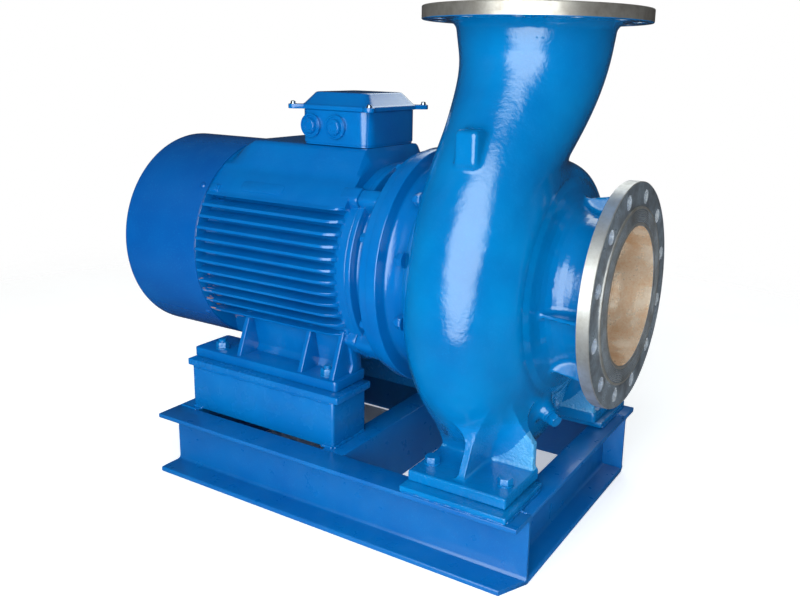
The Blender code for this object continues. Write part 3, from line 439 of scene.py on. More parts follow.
def turned(profile, sides=128, axis="X", centre=(0.0, 0.0, AXIS), closed=False):
    """Surface of revolution: each (position, radius) of the profile is a ring of points
    (p, r sin a, r cos a) round the axis. Closed joins the last ring to the first."""
    p = np.asarray(profile, float)
    a = np.linspace(0.0, 2.0 * math.pi, sides, endpoint=False)
    one = np.ones_like(a)
    stack = np.stack([p[:, :1] * one, p[:, 1:] * np.sin(a), p[:, 1:] * np.cos(a)], -1)
    if axis == "Z":
        stack = stack[..., [1, 2, 0]]
    stack = stack + np.asarray(centre)
    v, quads, caps = rings(stack)
    if closed:
        first, last = caps[0][::-1], caps[1]
        seam = np.stack([last, np.roll(last, -1), np.roll(first, -1), first], -1)
        quads = np.concatenate([quads, seam])
        caps = []
    return v, quads, caps


def eased(points, radius, steps=3):
    """Open profile with its inner corners rounded and its two ends kept."""
    p = np.asarray(points, float)
    r = np.broadcast_to(np.asarray(radius, float), (len(p),)).copy()
    full = rounded(p, r, steps).reshape(len(p), steps + 1, 2)
    return np.concatenate([p[:1], full[1:-1].reshape(-1, 2), p[-1:]])


FEET_X0, FEET_X1, FEET_Y0, FEET_Y1, FEET_T = -0.340, 0.035, 0.112, 0.210, 0.020
GUSSET_X, GUSSET_HALF = (-0.222, -0.060, 0.018), 0.0055


def motor_foot(side):
    """Foot plate, the wall that joins it to the barrel, and three gussets."""
    y0, y1 = sorted((side * FEET_Y0, side * FEET_Y1))
    plate = rounded([(FEET_X0, y0), (FEET_X1, y0), (FEET_X1, y1), (FEET_X0, y1)], 0.008, 4)
    shapes = [along(plate, FOOT_LOW, FOOT_LOW + FEET_T, "Z", 0.002)]
    wall = rounded(np.array([(0.114, 0.004), (0.152, 0.004), (0.152, 0.024), (0.146, 0.034), (0.165, 0.120),
                             (0.130, 0.120)]) * [side, 1.0] + [0.0, FOOT_LOW], 0.003, 3)
    shapes.append(along(wall, -0.2275, 0.029, "X", 0.002))
    web = rounded(np.array([(0.140, 0.010), (0.203, 0.010), (0.203, 0.021), (0.168, 0.110),
                            (0.140, 0.110)]) * [side, 1.0] + [0.0, FOOT_LOW], 0.003, 3)
    shapes += [along(web, x - GUSSET_HALF, x + GUSSET_HALF, "X", 0.0018) for x in GUSSET_X]
    return shapes


def rolled(shape, angle):
    """The shape turned about the shaft by an angle from the top, toward the back."""
    v, quads, caps = shape
    a = math.radians(angle)
    y = v[:, 1] * math.cos(a) + v[:, 2] * math.sin(a)
    z = -v[:, 1] * math.sin(a) + v[:, 2] * math.cos(a)
    return np.stack([v[:, 0], y, z + AXIS], 1), quads, caps


def boss(x0, x1, angle, radius, size, tall, corner=0.012):
    """Cast lug on the barrel at an angle from the top (front negative): a rounded block whose
    outer face lies at the given radius."""
    o = rounded([(-size / 2, radius - tall), (size / 2, radius - tall), (size / 2 * 0.8, radius),
                 (-size / 2 * 0.8, radius)], corner, 6)
    return rolled(along(o, x0, x1, "X", 0.0035), angle)


# The frame's drive end is a turned rim that the end shield meets, with four lugs on it.
end_ring = eased([(0.012, 0.0), (0.012, 0.1870), (0.020, 0.1975), (0.0475, 0.1985), (0.0478, 0.0)],
                 [0.0, 0.004, 0.004, 0.0022, 0.0])
lugs = [boss(0.006, 0.0475, a, 0.2165, w, 0.05)
        for a, w in ((-45.0, 0.046), (45.0, 0.046), (-135.0, 0.060), (135.0, 0.060))]


def pad(x0, x1, angle, half, low, high, corner):
    """Low flat pad on the band: a rounded plate between two distances from the shaft."""
    plate = rounded([(x0, -half), (x1, -half), (x1, half), (x0, half)], corner, 5)
    return rolled(along(plate, low, high, "Z", 0.0009), angle)


# A low flat pad on the band, on each side of the terminal box.
plate_seats = [pad(-0.238, -0.128, a, 0.0125, 0.205, 0.2169, 0.012) for a in (-48.5, 48.5)]
piece("finned_frame", joined(finned_barrel(), turned(end_ring), *motor_foot(-1.0), *motor_foot(1.0),
                             *lugs, *plate_seats),
      frame_paint, "blue_enamel", "motor_frame", crease=38.0)

# Two iron lugs cast on the frame's rear rim, in line with the cowl's upper screws. The paint
# lies thick and wrinkled on them.
rear_lugs = [boss(-0.3177, -0.2900, a, 0.2190, 0.024, 0.03, 0.006) for a in (-52.0, 52.0)]
rear_lugs += [pad(-0.3130, -0.2950, a, 0.0080, 0.212, 0.2207, 0.0075) for a in (-52.0, 52.0)]
piece("cowl_lugs", joined(*rear_lugs), weld_paint, "blue_enamel", crease=40.0)

# End shields: turned iron castings that carry the bearings. The rear one takes the cowl's rim.
# The drive end one steps out to the flange that the pump bolts to, and has four bolted lugs.

# Turned under the paint: a softer relief and smoother highlights than on the frame.
shield_paint = blue_enamel("blue_enamel_on_turned_casting", (30.0, 0.6), (5.0, 0.20), (1.5, 0.045))
rear = eased([(FRAME_X0 - GAP, 0.031), (FRAME_X0 - GAP, 0.2180), (-0.346, 0.2180), (-0.350, 0.200),
              (-0.350, 0.090), (-0.372, 0.070), (-0.372, 0.031)], 0.002)
piece("rear_shield", turned(rear, closed=True), shield_paint, "blue_enamel", "rear_end_shield")
drive = eased([(0.118, 0.031), (0.118, 0.2260), (0.098, 0.2260), (0.094, 0.190), (0.072, 0.178),
               (0.0605, 0.1785), (0.0600, 0.2000), (0.0485, 0.2000), (0.0483, 0.031)],
              [0.0, 0.0025, 0.0030, 0.008, 0.006, 0.003, 0.0022, 0.0012, 0.0])
ears = [boss(0.0483, x, a, r, w, 0.05)
        for a, w, x, r in ((-45.0, 0.042, 0.0935, 0.215), (45.0, 0.042, 0.0935, 0.215),
                           (-135.0, 0.060, 0.1080, 0.220), (135.0, 0.060, 0.1080, 0.220))]
piece("drive_shield", joined(turned(drive, closed=True), *ears), shield_paint, "blue_enamel",
      "drive_end_shield", crease=38.0)

# Fan cowl: sheet steel drum with a rolled corner and slots in its flat rear face. Four
# screws hold its rim to the rear shield.

COWL_X0, COWL_X1, COWL_R, SHEET = -0.530, -0.318, 0.2207, 0.002
# Thin sheet, sprayed: nearly flat, and a deeper blue than the castings.
cowl_paint = blue_enamel("blue_enamel_on_sheet_steel", (220.0, 1.5), (11.0, 0.03), (1.1, 0.008),
                         rough=(0.16, 0.24), tones=("#004B94", "#00549D"))
sheet = eased([(COWL_X1, COWL_R - 0.0019), (COWL_X1, COWL_R), (COWL_X0 + 0.030, COWL_R), (COWL_X0, COWL_R),
               (COWL_X0, 0.166)], [0.0, 0.0008, 0.001, 0.009, 0.0], 6)
back_side = eased([(COWL_X0 + SHEET, 0.166), (COWL_X0 + SHEET, COWL_R - SHEET), (COWL_X1, COWL_R - SHEET)],
                  [0.0, 0.007, 0.0], 6)


def holed_ring(inner, outer, count, k, hole, layers):
    """Flat ring about the X axis with a hole in each of its equal sectors. A sector's outline has
    k points a side, and hole(outline, grow) gives the points of the hole's rim that face them.
    Each layer (x, s, grow) is a ring of points outline (1 - s) + rim s at x, so that the faces
    run in to the hole, through it, and out again on the far side."""
    half = math.pi / count
    u = np.linspace(-1.0, 1.0, k, endpoint=False)
    one = np.ones(k)
    rise = (outer - inner) * (u + 1) / 2
    r = np.concatenate([inner * one, inner + rise, outer * one, outer - rise])
    a = np.concatenate([half * u, half * one, -half * u, -half * one])
    edge = np.stack([r * np.sin(a), r * np.cos(a)], 1)
    tile = np.stack([np.insert(edge * (1 - s) + hole(edge, grow) * s, 0, x, axis=1)
                     for x, s, grow in layers])
    turn = (np.arange(count) + 0.5) * 2.0 * half
    c, s = np.cos(turn)[:, None, None], np.sin(turn)[:, None, None]
    x, y, z = np.moveaxis(tile, -1, 0)
    v = np.stack([x + 0.0 * c, y * c + z * s, z * c - y * s], -1)
    m, n = tile.shape[:2]
    i = np.arange(count)[:, None, None] * m * n + np.arange(m - 1)[None, :, None] * n + np.arange(n)
    j = np.roll(i, -1, 2)
    return v.reshape(-1, 3), np.stack([i, j, j + n, i + n], -1).reshape(-1, 4), []


def cowl_slot(edge, grow):
    """Rim of a slot with round ends, 17 mm wide and 95 mm long on the radius, grown by a margin:
    a circle whose two halves are moved apart."""
    middle, reach, half_width = 0.1175, 0.039, 0.0085 + grow
    t = np.arctan2(edge[:, 0], (edge[:, 1] - middle) * 0.25)
    end = np.where(np.abs(np.cos(t)) > 1e-6, np.sign(np.cos(t)), 0.0)
    return np.stack([half_width * np.sin(t), middle + half_width * np.cos(t) + reach * end], 1)


def uncapped(shape):
    """The shape without its end faces: an open skin."""
    v, quads, _ = shape
    return v, quads, []


drum = uncapped(turned(np.concatenate([sheet, back_side]), 160))
steps = (0.0, 0.35, 0.75, 1.0)
v, quads, _ = holed_ring(0.066, 0.1662, 12, 12, cowl_slot, [(COWL_X0, s, 0.0) for s in steps]
                         + [(COWL_X0 + SHEET, s, 0.0) for s in steps[::-1]])
grille = (v + [0.0, 0.0, AXIS], quads, [])
hub = [(COWL_X0 + SHEET, 0.0662), (COWL_X0, 0.0662), (COWL_X0, 0.018), (COWL_X0 + SHEET, 0.018)]
middle = turned(hub, 96, closed=True)
piece("cowl", joined(drum, grille, middle), cowl_paint, "blue_enamel", "fan_cowl", crease=50.0)


# Fan and shaft: a fan moulded of black nylon, keyed on a ground steel shaft. They show only
# through the cowl's slots and through the suction bore.

def moulded_black(name):
    """Glass-filled nylon off the mould: near black, a dull sheen, and a fine grain of 1.5 mm."""
    mat, t, skin, at = new_finish(name)
    grain = add(t, "TexNoise", "Fac", {"Vector": at, "Scale": 1000 / 1.538, "Detail": 2.0})
    wire(t, skin, {"Base Color": add(t, "ValToRGB", 0, {"Fac": grain}, ((0.3, "#101112"), (0.8, "#26282A"))),
                   "Roughness": add(t, "ValToRGB", 0, {"Fac": grain}, ((0.3, 0.48), (0.8, 0.62))),
                   "Normal": add(t, "Bump", "Normal", {"Height": grain, "Distance": 0.00004})})
    return mat


def turned_steel(name, light, dark, groove_mm, axis, centre, groove=0.00003, stain=None, rough=(0.24, 0.36),
                 metal=1.0):
    """Steel or iron straight off the lathe: the tool leaves grooves groove_mm apart, rings
    round the axis, that draw the light into streaks. The tone drifts in blots of 38 mm from
    handling. Where a stain is given, a thin film of rust in spots of 3 mm lies on the blots."""
    mat, t, skin, at = new_finish(name)
    moved = add(t, "Mapping", "Vector", {"Vector": at, "Location": tuple(-c for c in centre)})
    x, y, z = (add(t, "SeparateXYZ", way, {"Vector": moved}) for way in "XYZ")
    long_way, ra, rb = (x, y, z) if axis == "X" else (z, x, y)
    across = add(t, "CombineXYZ", 0, {"X": ra, "Y": rb})
    radius = add(t, "VectorMath", "Value", {0: across}, operation="LENGTH")
    way = add(t, "CombineXYZ", 0, {"X": add(t, "Math", 0, {0: radius, 1: long_way}, operation="ADD")})
    fine = add(t, "TexNoise", "Fac", {"Vector": way, "Scale": 1000.0 / groove_mm, "Detail": 3.0})
    blot = add(t, "TexNoise", "Fac", {"Vector": at, "Scale": 1000 / 38.46, "Detail": 6.0, "Roughness": 0.65})
    tone = add(t, "ValToRGB", 0, {"Fac": blot}, ((0.32, dark), (0.66, light)))
    line = add(t, "ValToRGB", 0, {"Fac": fine}, ((0.35, 0.0), (0.75, 0.30)))
    tone = add(t, "Mix", "Result", {"Factor": line, "A": tone, "B": linear(dark)}, data_type="RGBA")
    if stain:
        spots = add(t, "TexNoise", "Fac", {"Vector": at, "Scale": 1000 / 3.125, "Detail": 4.0})
        spots = add(t, "ValToRGB", 0, {"Fac": spots}, ((0.40, 0.25), (0.66, 0.85)))
        film = add(t, "ValToRGB", 0, {"Fac": blot}, ((0.34, 1.0), (0.62, 0.25)))
        film = add(t, "Math", 0, {0: spots, 1: film}, operation="MULTIPLY")
        tone = add(t, "Mix", "Result", {"Factor": film, "A": tone, "B": linear(stain)}, data_type="RGBA")
        metal = add(t, "ValToRGB", 0, {"Fac": film}, ((0.3, metal), (0.8, metal * 0.5)))
    wire(t, skin, {"Base Color": tone, "Metallic": metal,
                   "Roughness": add(t, "ValToRGB", 0, {"Fac": blot}, ((0.3, rough[1]), (0.7, rough[0]))),
                   "Normal": add(t, "Bump", "Normal", {"Height": fine, "Distance": groove})})
    return mat


def finish_node(name, mat):
    """Give a CAD node that stays in view its finish."""
    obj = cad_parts[name]
    obj.data.materials.clear()
    obj.data.materials.append(mat)


finish_node("cooling_fan", moulded_black("black_moulded_fan"))
finish_node("motor_shaft", turned_steel("ground_steel_shaft", "#A8A5A0", "#7E7B78", 0.4, "X", (0, 0, AXIS)))

# Terminal box: a pressure-cast alloy box with round upright corners, a lid with sloped sides and
# four ears for its screws, and three screwed blanking plugs where cables would enter.

BOX_X0, BOX_X1, BOX_HALF = -0.146, 0.021, 0.088
BOX_Z0, BOX_Z1 = AXIS + SEAT + GAP, 0.7600
# Smooth die skin: only a fine orange peel, so highlights keep their outline.
box_paint = blue_enamel("blue_enamel_on_pressure_casting", (60.0, 0.4), (6.0, 0.05), (1.3, 0.015))


def plan(x0, x1, half, radius):
    """Rectangle on plan with round corners."""
    return rounded([(x0, -half), (x1, -half), (x1, half), (x0, half)], radius, 6)


def level(outline, z):
    """Flat outline lifted to a height."""
    return np.concatenate([outline, np.full((len(outline), 1), z)], 1)


box_levels = ((0.0030, BOX_Z0), (0.0014, BOX_Z0 + 0.0004), (0.0012, BOX_Z0 + 0.0035),
              (0.0002, BOX_Z0 + 0.0045), (0.0, BOX_Z0 + 0.006), (0.0, BOX_Z1 - 0.001), (0.0010, BOX_Z1))
body = rings(np.stack([level(plan(BOX_X0 + a, BOX_X1 - a, BOX_HALF - a, 0.027), z) for a, z in box_levels]))
piece("box_body", body, box_paint, "blue_enamel", "terminal_box")

LID_Z, LID_OVER = BOX_Z1 + GAP, 0.004
lid_levels = ((0.0012, 0.0, 0.022), (0.0, 0.0012, 0.022), (0.0, 0.0070, 0.022), (0.0012, 0.0088, 0.022),
              (0.0036, 0.0098, 0.021), (0.0060, 0.0112, 0.020), (0.0225, 0.0318, 0.016),
              (0.0245, 0.0334, 0.015), (0.0285, 0.0340, 0.012))
lid = rings(np.stack([level(plan(BOX_X0 - LID_OVER + a, BOX_X1 + LID_OVER - a, BOX_HALF + LID_OVER - a, r),
                            LID_Z + z) for a, z, r in lid_levels]))


def lid_ear(sx, sy):
    """Round ear on a corner of the lid: a half circle that runs back under the lid's edge."""
    cx, cy = (BOX_X0 if sx < 0 else BOX_X1) + sx * 0.008, sy * (BOX_HALF + 0.008)
    facing = math.atan2(sy, sx)
    a = facing + np.radians(np.linspace(-90, 90, 13))
    arc = np.stack([cx + 0.011 * np.cos(a), cy + 0.011 * np.sin(a)], 1)
    back = 0.020 * np.array([math.cos(facing), math.sin(facing)])
    o = np.concatenate([arc, arc[-1:] - back, arc[:1] - back])
    return along(o, LID_Z + 0.0002, LID_Z + 0.0092, "Z", 0.0010)


ears = [lid_ear(sx, sy) for sx in (-1, 1) for sy in (-1, 1)]
piece("box_lid", joined(lid, *ears), box_paint, "blue_enamel", "terminal_box_lid", crease=35.0)


def square_to(direction):
    """A direction and two more that stand square to it, each of length 1."""
    d = np.asarray(direction, float)
    d /= np.linalg.norm(d)
    e = np.cross(d, [0.0, 0.0, 1.0] if abs(d[2]) < 0.9 else [1.0, 0.0, 0.0])
    e /= np.linalg.norm(e)
    return d, e, np.cross(d, e)


def spun(profile, at, direction, sides=40):
    """Small turned part: a profile of (height, radius) round a point, standing along a direction."""
    d, e, f = square_to(direction)
    p = np.asarray(profile, float)
    a = np.linspace(0.0, 2.0 * math.pi, sides, endpoint=False)
    ring = np.cos(a)[:, None] * e + np.sin(a)[:, None] * f
    return rings(np.asarray(at) + p[:, 0][:, None, None] * d + p[:, 1][:, None, None] * ring)


plug_profile = [(0.0003, 0.0235), (0.0055, 0.0235), (0.0068, 0.0222), (0.0068, 0.0205), (0.0048, 0.0190),
                (0.0048, 0.0165), (0.0074, 0.0150), (0.0100, 0.0146), (0.0112, 0.0135), (0.0112, 0.0090),
                (0.0092, 0.0075), (0.0090, 0.0040)]


def blanking_plug(name, at, direction):
    """Collar, a sunk ring and an eight-sided head with a shallow dish."""
    round_part = spun(plug_profile, at, direction)
    head = [(0.0068, 0.0130), (0.0116, 0.0130), (0.0120, 0.0122), (0.0120, 0.0095), (0.0104, 0.0080)]
    key = spun(head, at, direction, 8)
    piece(name, joined(round_part, key), box_paint, "blue_enamel", name.replace("blank", "gland_plug"),
          crease=25.0)


PLUG_Z = 0.7285
blanking_plug("blank_front_a", (BOX_X0 + 0.030, -BOX_HALF, PLUG_Z), (0, -1, 0))
blanking_plug("blank_front_b", (BOX_X0 + 0.091, -BOX_HALF, PLUG_Z), (0, -1, 0))
blanking_plug("blank_side", (BOX_X0, -0.045, PLUG_Z), (-1, 0, 0))


# Lid screws: four steel screws, plated with zinc and left bare, hold the lid down. There is one
# in each ear.

def plated_steel(name):
    """Bright zinc on small screws: a cool mirror, faintly clouded every 3.3 mm."""
    mat, t, skin, at = new_finish(name)
    cloud = add(t, "TexNoise", "Fac", {"Vector": at, "Scale": 1000 / 3.333, "Detail": 3.0})
    wire(t, skin, {"Base Color": add(t, "ValToRGB", 0, {"Fac": cloud}, ((0.3, "#8E9498"), (0.7, "#C9CDD0"))),
                   "Roughness": add(t, "ValToRGB", 0, {"Fac": cloud}, ((0.3, 0.22), (0.7, 0.38))),
                   "Metallic": 1.0})
    return mat


screw_head = [(0.0, 0.0062), (0.0012, 0.0062), (0.0012, 0.0048), (0.0048, 0.0048), (0.0060, 0.0036),
              (0.0062, 0.0010)]
screws = [spun(screw_head, (x, sy * (BOX_HALF + 0.009), LID_Z + 0.0092), (0, 0, 1), 20)
          for x in (BOX_X0 - 0.009, BOX_X1 + 0.009) for sy in (-1, 1)]
piece("lid_screws", joined(*screws), plated_steel("zinc_plated_screw"), "bare_shaft", crease=30.0)

# Pump adapter: a turned iron casting with the flange that meets the motor, and the drum that
# closes the back of the pump casing. Bolts hold it at both ends.

adapter = eased([(0.240, 0.031), (0.240, 0.1577), (0.1900, 0.1580), (0.1897, 0.2085), (0.182, 0.2060),
                 (0.160, 0.2030), (0.141, 0.2060), (0.140, 0.2330), (0.1183, 0.2330), (0.1183, 0.031)],
                [0.0, 0.003, 0.0005, 0.002, 0.004, 0.006, 0.005, 0.0022, 0.0014, 0.0])
piece("adapter", turned(adapter, closed=True), shield_paint, "blue_enamel", "pump_adapter", crease=38.0)

# Pump casing: one iron casting of spiral, dome, suction nozzle and neck, with ribs behind the
# suction flange, a plain pad on the neck and a drain boss. Its feet are cast on.

# The spiral's centre lies DROP under the shaft. Its ring grows from RING0 to RING1 and its tube
# from TUBE0 to TUBE1, and it sags by SAG at the bottom. LIFT and DRAW are the pulls at the two
# ends of the neck's curve, and the neck flares between two heights to NECK_R.
VOLUTE_X, DROP = 0.296, 0.045
RING0, RING1, TUBE0, TUBE1 = 0.168, 0.186, 0.072, 0.106
SAG, NECK_Z, LIFT, DRAW = 0.030, 0.900, 0.270, 0.145
FLARE0, FLARE1, NECK_R, DISCH_X = 0.710, 0.930, 0.143, 0.3196
SUCTION_FACE, DISCH_FACE = 0.530, 0.955
FLANGE_T, RAISED_T = 0.023, 0.003
FLANGE_BACK = SUCTION_FACE - RAISED_T - FLANGE_T - GAP
NECK_TOP = DISCH_FACE - RAISED_T - FLANGE_T - GAP
NOZZLE_R = 0.137


def neck_radius(z):
    """Outer radius of the neck at a height: from the spiral's to the flange's by the share
    (1 + sqrt(u^2 + e^2) - sqrt((u - 1)^2 + e^2)) / 2, which is u clipped to 0..1 with soft corners."""
    u = (z - FLARE0) / (FLARE1 - FLARE0)
    e = 0.12
    share = (1.0 + np.sqrt(u * u + e * e) - np.sqrt((u - 1.0) ** 2 + e * e)) / 2.0
    return TUBE1 + (NECK_R - TUBE1) * share


def passage():
    """Centre line and outer radius (x, y, z, r) of the metal round the water's way. The spiral
    runs from 35 degrees past the top, over the back and the bottom, to the front: ring =
    ring0 + (ring1 - ring0) t + sag (-cos a)^6 below the centre. The neck is a cubic curve
    that leaves it upward and ends upright, and its radius flares to the flange."""
    centre = AXIS - DROP
    t = np.linspace(0.0, 1.0, 160)
    a = np.radians(35.0 + 235.0 * t)
    ring = RING0 + (RING1 - RING0) * t + SAG * np.maximum(0.0, -np.cos(a)) ** 6
    spiral = np.stack([np.full_like(a, VOLUTE_X), ring * np.sin(a), centre + ring * np.cos(a),
                       TUBE0 + (TUBE1 - TUBE0) * t], 1)
    t = np.linspace(0.0, 1.0, 130)[1:]
    low, lift, draw = (1 - t) ** 3, 3 * (1 - t) ** 2 * t, 3 * (1 - t) * t * t
    z = centre * low + (centre + LIFT) * lift + (NECK_Z - DRAW) * draw + NECK_Z * t ** 3
    share = 1.0 - low - lift
    neck = np.stack([VOLUTE_X + (DISCH_X - VOLUTE_X) * share, -RING1 * (1 - share), z, neck_radius(z)], 1)
    z = np.linspace(NECK_Z, DISCH_FACE, 14)[1:]
    top = np.stack([np.full_like(z, DISCH_X), np.zeros_like(z), z, neck_radius(z)], 1)
    return np.concatenate([spiral, neck, top])


PATH = passage()


def blend(a, b, reach):
    """Smooth union of two distances: min(a, b) - h^2 reach / 4 with h = max(0, 1 - |a - b| / reach)."""
    h = np.maximum(0.0, 1.0 - np.abs(a - b) / reach)
    return np.minimum(a, b) - h * h * reach / 4.0


def tube_distance(p):
    """Distance to the tube: the path's point with the least distance less radius, found first
    among every eighth point, then among its neighbours. A parabola through that value and
    the two beside it gives the value between the points, so no facet shows."""
    step, batch = 8, 60000
    coarse = PATH[::step]
    out = np.empty(len(p))
    for s in range(0, len(p), batch):
        q = p[s:s + batch]
        d = np.sqrt(((q[:, None, :] - coarse[None, :, :3]) ** 2).sum(-1)) - coarse[None, :, 3]
        first = d.argmin(1) * step
        near = np.clip(first[:, None] + np.arange(-step, step + 1)[None, :], 0, len(PATH) - 1)
        around = PATH[near]
        d = np.sqrt(((q[:, None, :] - around[..., :3]) ** 2).sum(-1)) - around[..., 3]
        k = np.clip(d.argmin(1), 1, 2 * step - 1)
        i = np.arange(len(q))
        before, here, after = d[i, k - 1], d[i, k], d[i, k + 1]
        bend = before - 2.0 * here + after
        slope = (after - before) / 2.0
        shift = np.clip(-slope / np.maximum(bend, 1e-9), -1.0, 1.0)
        out[s:s + batch] = np.minimum(here, here + slope * shift + bend * shift * shift / 2.0)
    return out


def dome_outline():
    """Half outline (x, r) of dome and nozzle: flange end, nozzle, fillet, a rim that turns in on
    (1 - s^2.25)^(1 / 2.25), the rounded back."""
    a = np.radians(np.linspace(0.0, 90.0, 16))
    rim = np.stack([0.325 + 0.0825 * np.cos(a) ** (2 / 2.25), 0.200 + 0.034 * np.sin(a) ** (2 / 2.25)], 1)
    nose = np.array([(0.540, 0.0), (0.540, 0.150), (0.506, 0.150), (0.499, 0.1405), (0.488, NOZZLE_R),
                     (0.468, NOZZLE_R), (0.456, 0.1380), (0.446, 0.1408), (0.4375, 0.1455), (0.430, 0.1525),
                     (0.424, 0.1620), (0.4195, 0.1735), (0.416, 0.187)])
    tail = np.array([(0.260, 0.2325), (0.238, 0.2295), (0.219, 0.2230), (0.205, 0.2170), (0.190, 0.2130),
                     (0.190, 0.0)])
    return np.concatenate([nose, rim, tail])


DOME = dome_outline()


def outline_distance(x, r, outline):
    """Signed distance to a closed flat outline: the nearest edge, minus inside (a point is
    inside when a ray crosses the outline an odd number of times)."""
    d = np.full(len(x), np.inf)
    inside = np.zeros(len(x), bool)
    for (ax, ar), (bx, br) in zip(outline, np.roll(outline, -1, 0)):
        ex, er = bx - ax, br - ar
        t = np.clip(((x - ax) * ex + (r - ar) * er) / max(ex * ex + er * er, 1e-12), 0.0, 1.0)
        d = np.minimum(d, np.hypot(x - ax - t * ex, r - ar - t * er))
        if ar != br:
            cross = ((ar > r) != (br > r)) & (x < ax + (r - ar) * ex / er)
            inside ^= cross
    return np.where(inside, -d, d)


def block_distance(q, half, corner):
    """Rounded block about the origin: length of max(|q| - half + corner, 0), less the corner."""
    e = np.abs(q) - half + corner
    return np.linalg.norm(np.maximum(e, 0.0), axis=1) + np.minimum(e.max(1), 0.0) - corner


RIB_ANGLES = (-145.0, -95.0, 8.0, 95.0, 145.0)
FOOT_X0, FOOT_X1, FOOT_Y0, FOOT_Y1, FOOT_Z = 0.240, 0.430, 0.140, 0.273, 0.1418
DRAIN = np.array([0.4215, -0.075, 0.2350])
DRAIN_WAY = np.array([0.843, -0.407, -0.349])
DRAIN_WAY /= np.linalg.norm(DRAIN_WAY)
NECK_PAD, NECK_PAD_HALF = [0.3105, -0.166, 0.7215], [0.0215, 0.0655, 0.0305]


def ribs_distance(p):
    """Ribs behind the suction flange: thin plates on radial planes whose free edge rises
    from 158 mm at the dome to 176 mm at the flange."""
    out = np.full(len(p), np.inf)
    x, y, z = p[:, 0], p[:, 1], p[:, 2] - AXIS
    for angle in RIB_ANGLES:
        a = math.radians(angle)
        across = y * math.cos(a) - z * math.sin(a)
        out_way = y * math.sin(a) + z * math.cos(a)
        edge = out_way - (0.158 + (x - 0.400) * 0.018 / 0.104)
        e = np.stack([np.abs(across) - 0.0038, edge, 0.110 - out_way, 0.380 - x, x - 0.540], 1) + 0.002
        plate = np.linalg.norm(np.maximum(e, 0.0), axis=1) + np.minimum(e.max(1), 0.0) - 0.002
        out = np.minimum(out, plate)
    return out


def feet_distance(p):
    """Foot on each side: a plate, an upright wall across it at its inner edge, and one web."""
    q = np.stack([p[:, 0], np.abs(p[:, 1]), p[:, 2]], 1)
    mid, half = (FOOT_X0 + FOOT_X1) / 2, (FOOT_X1 - FOOT_X0) / 2
    plate = block_distance(q - [mid, (FOOT_Y0 + FOOT_Y1) / 2, FOOT_Z + 0.0101],
                           [half, (FOOT_Y1 - FOOT_Y0) / 2, 0.0101], 0.0035)
    wall = block_distance(q - [mid, FOOT_Y0 + 0.008, 0.210], [half - 0.005, 0.0075, 0.066], 0.003)
    wall = np.maximum(wall, ((q[:, 2] - 0.221) + (q[:, 0] - 0.4155) * 1.1) * 0.67)
    slope = (q[:, 1] - (FOOT_Y1 - 0.020)) + (q[:, 2] - FOOT_Z - 0.022) * 0.50
    web = np.maximum(block_distance(q - [mid, 0.200, 0.215], [0.0068, 0.062, 0.072], 0.003), slope)
    foot = blend(plate, wall, 0.008)
    return blend(foot, web, 0.009)


def casting_distance(p):
    """Signed distance to the whole outer skin of the casting: tube and dome run together with a
    wide fillet, and then ribs, neck pad, drain boss, the collar under the flange, and feet."""
    r = np.hypot(p[:, 1], p[:, 2] - AXIS)
    skin = blend(tube_distance(p), outline_distance(p[:, 0], r, DOME), 0.030)
    skin = blend(skin, ribs_distance(p), 0.010)
    skin = blend(skin, block_distance(p - NECK_PAD, NECK_PAD_HALF, 0.009), 0.010)
    along_boss = (p - DRAIN) @ DRAIN_WAY
    across_boss = np.linalg.norm(p - DRAIN - along_boss[:, None] * DRAIN_WAY, axis=1)
    drain = np.maximum(across_boss - 0.0165, np.maximum(along_boss, -0.06 - along_boss))
    skin = blend(skin, drain, 0.024)
    rise = np.clip((p[:, 2] - NECK_TOP + 0.022) / 0.022, 0.0, 1.0)
    collar = np.hypot(p[:, 0] - DISCH_X, p[:, 1]) - 0.013 * rise ** 3 - 0.0005 - neck_radius(p[:, 2])
    skin = blend(skin, np.maximum(collar, NECK_Z - p[:, 2]), 0.002)
    return blend(skin, feet_distance(p), 0.034)


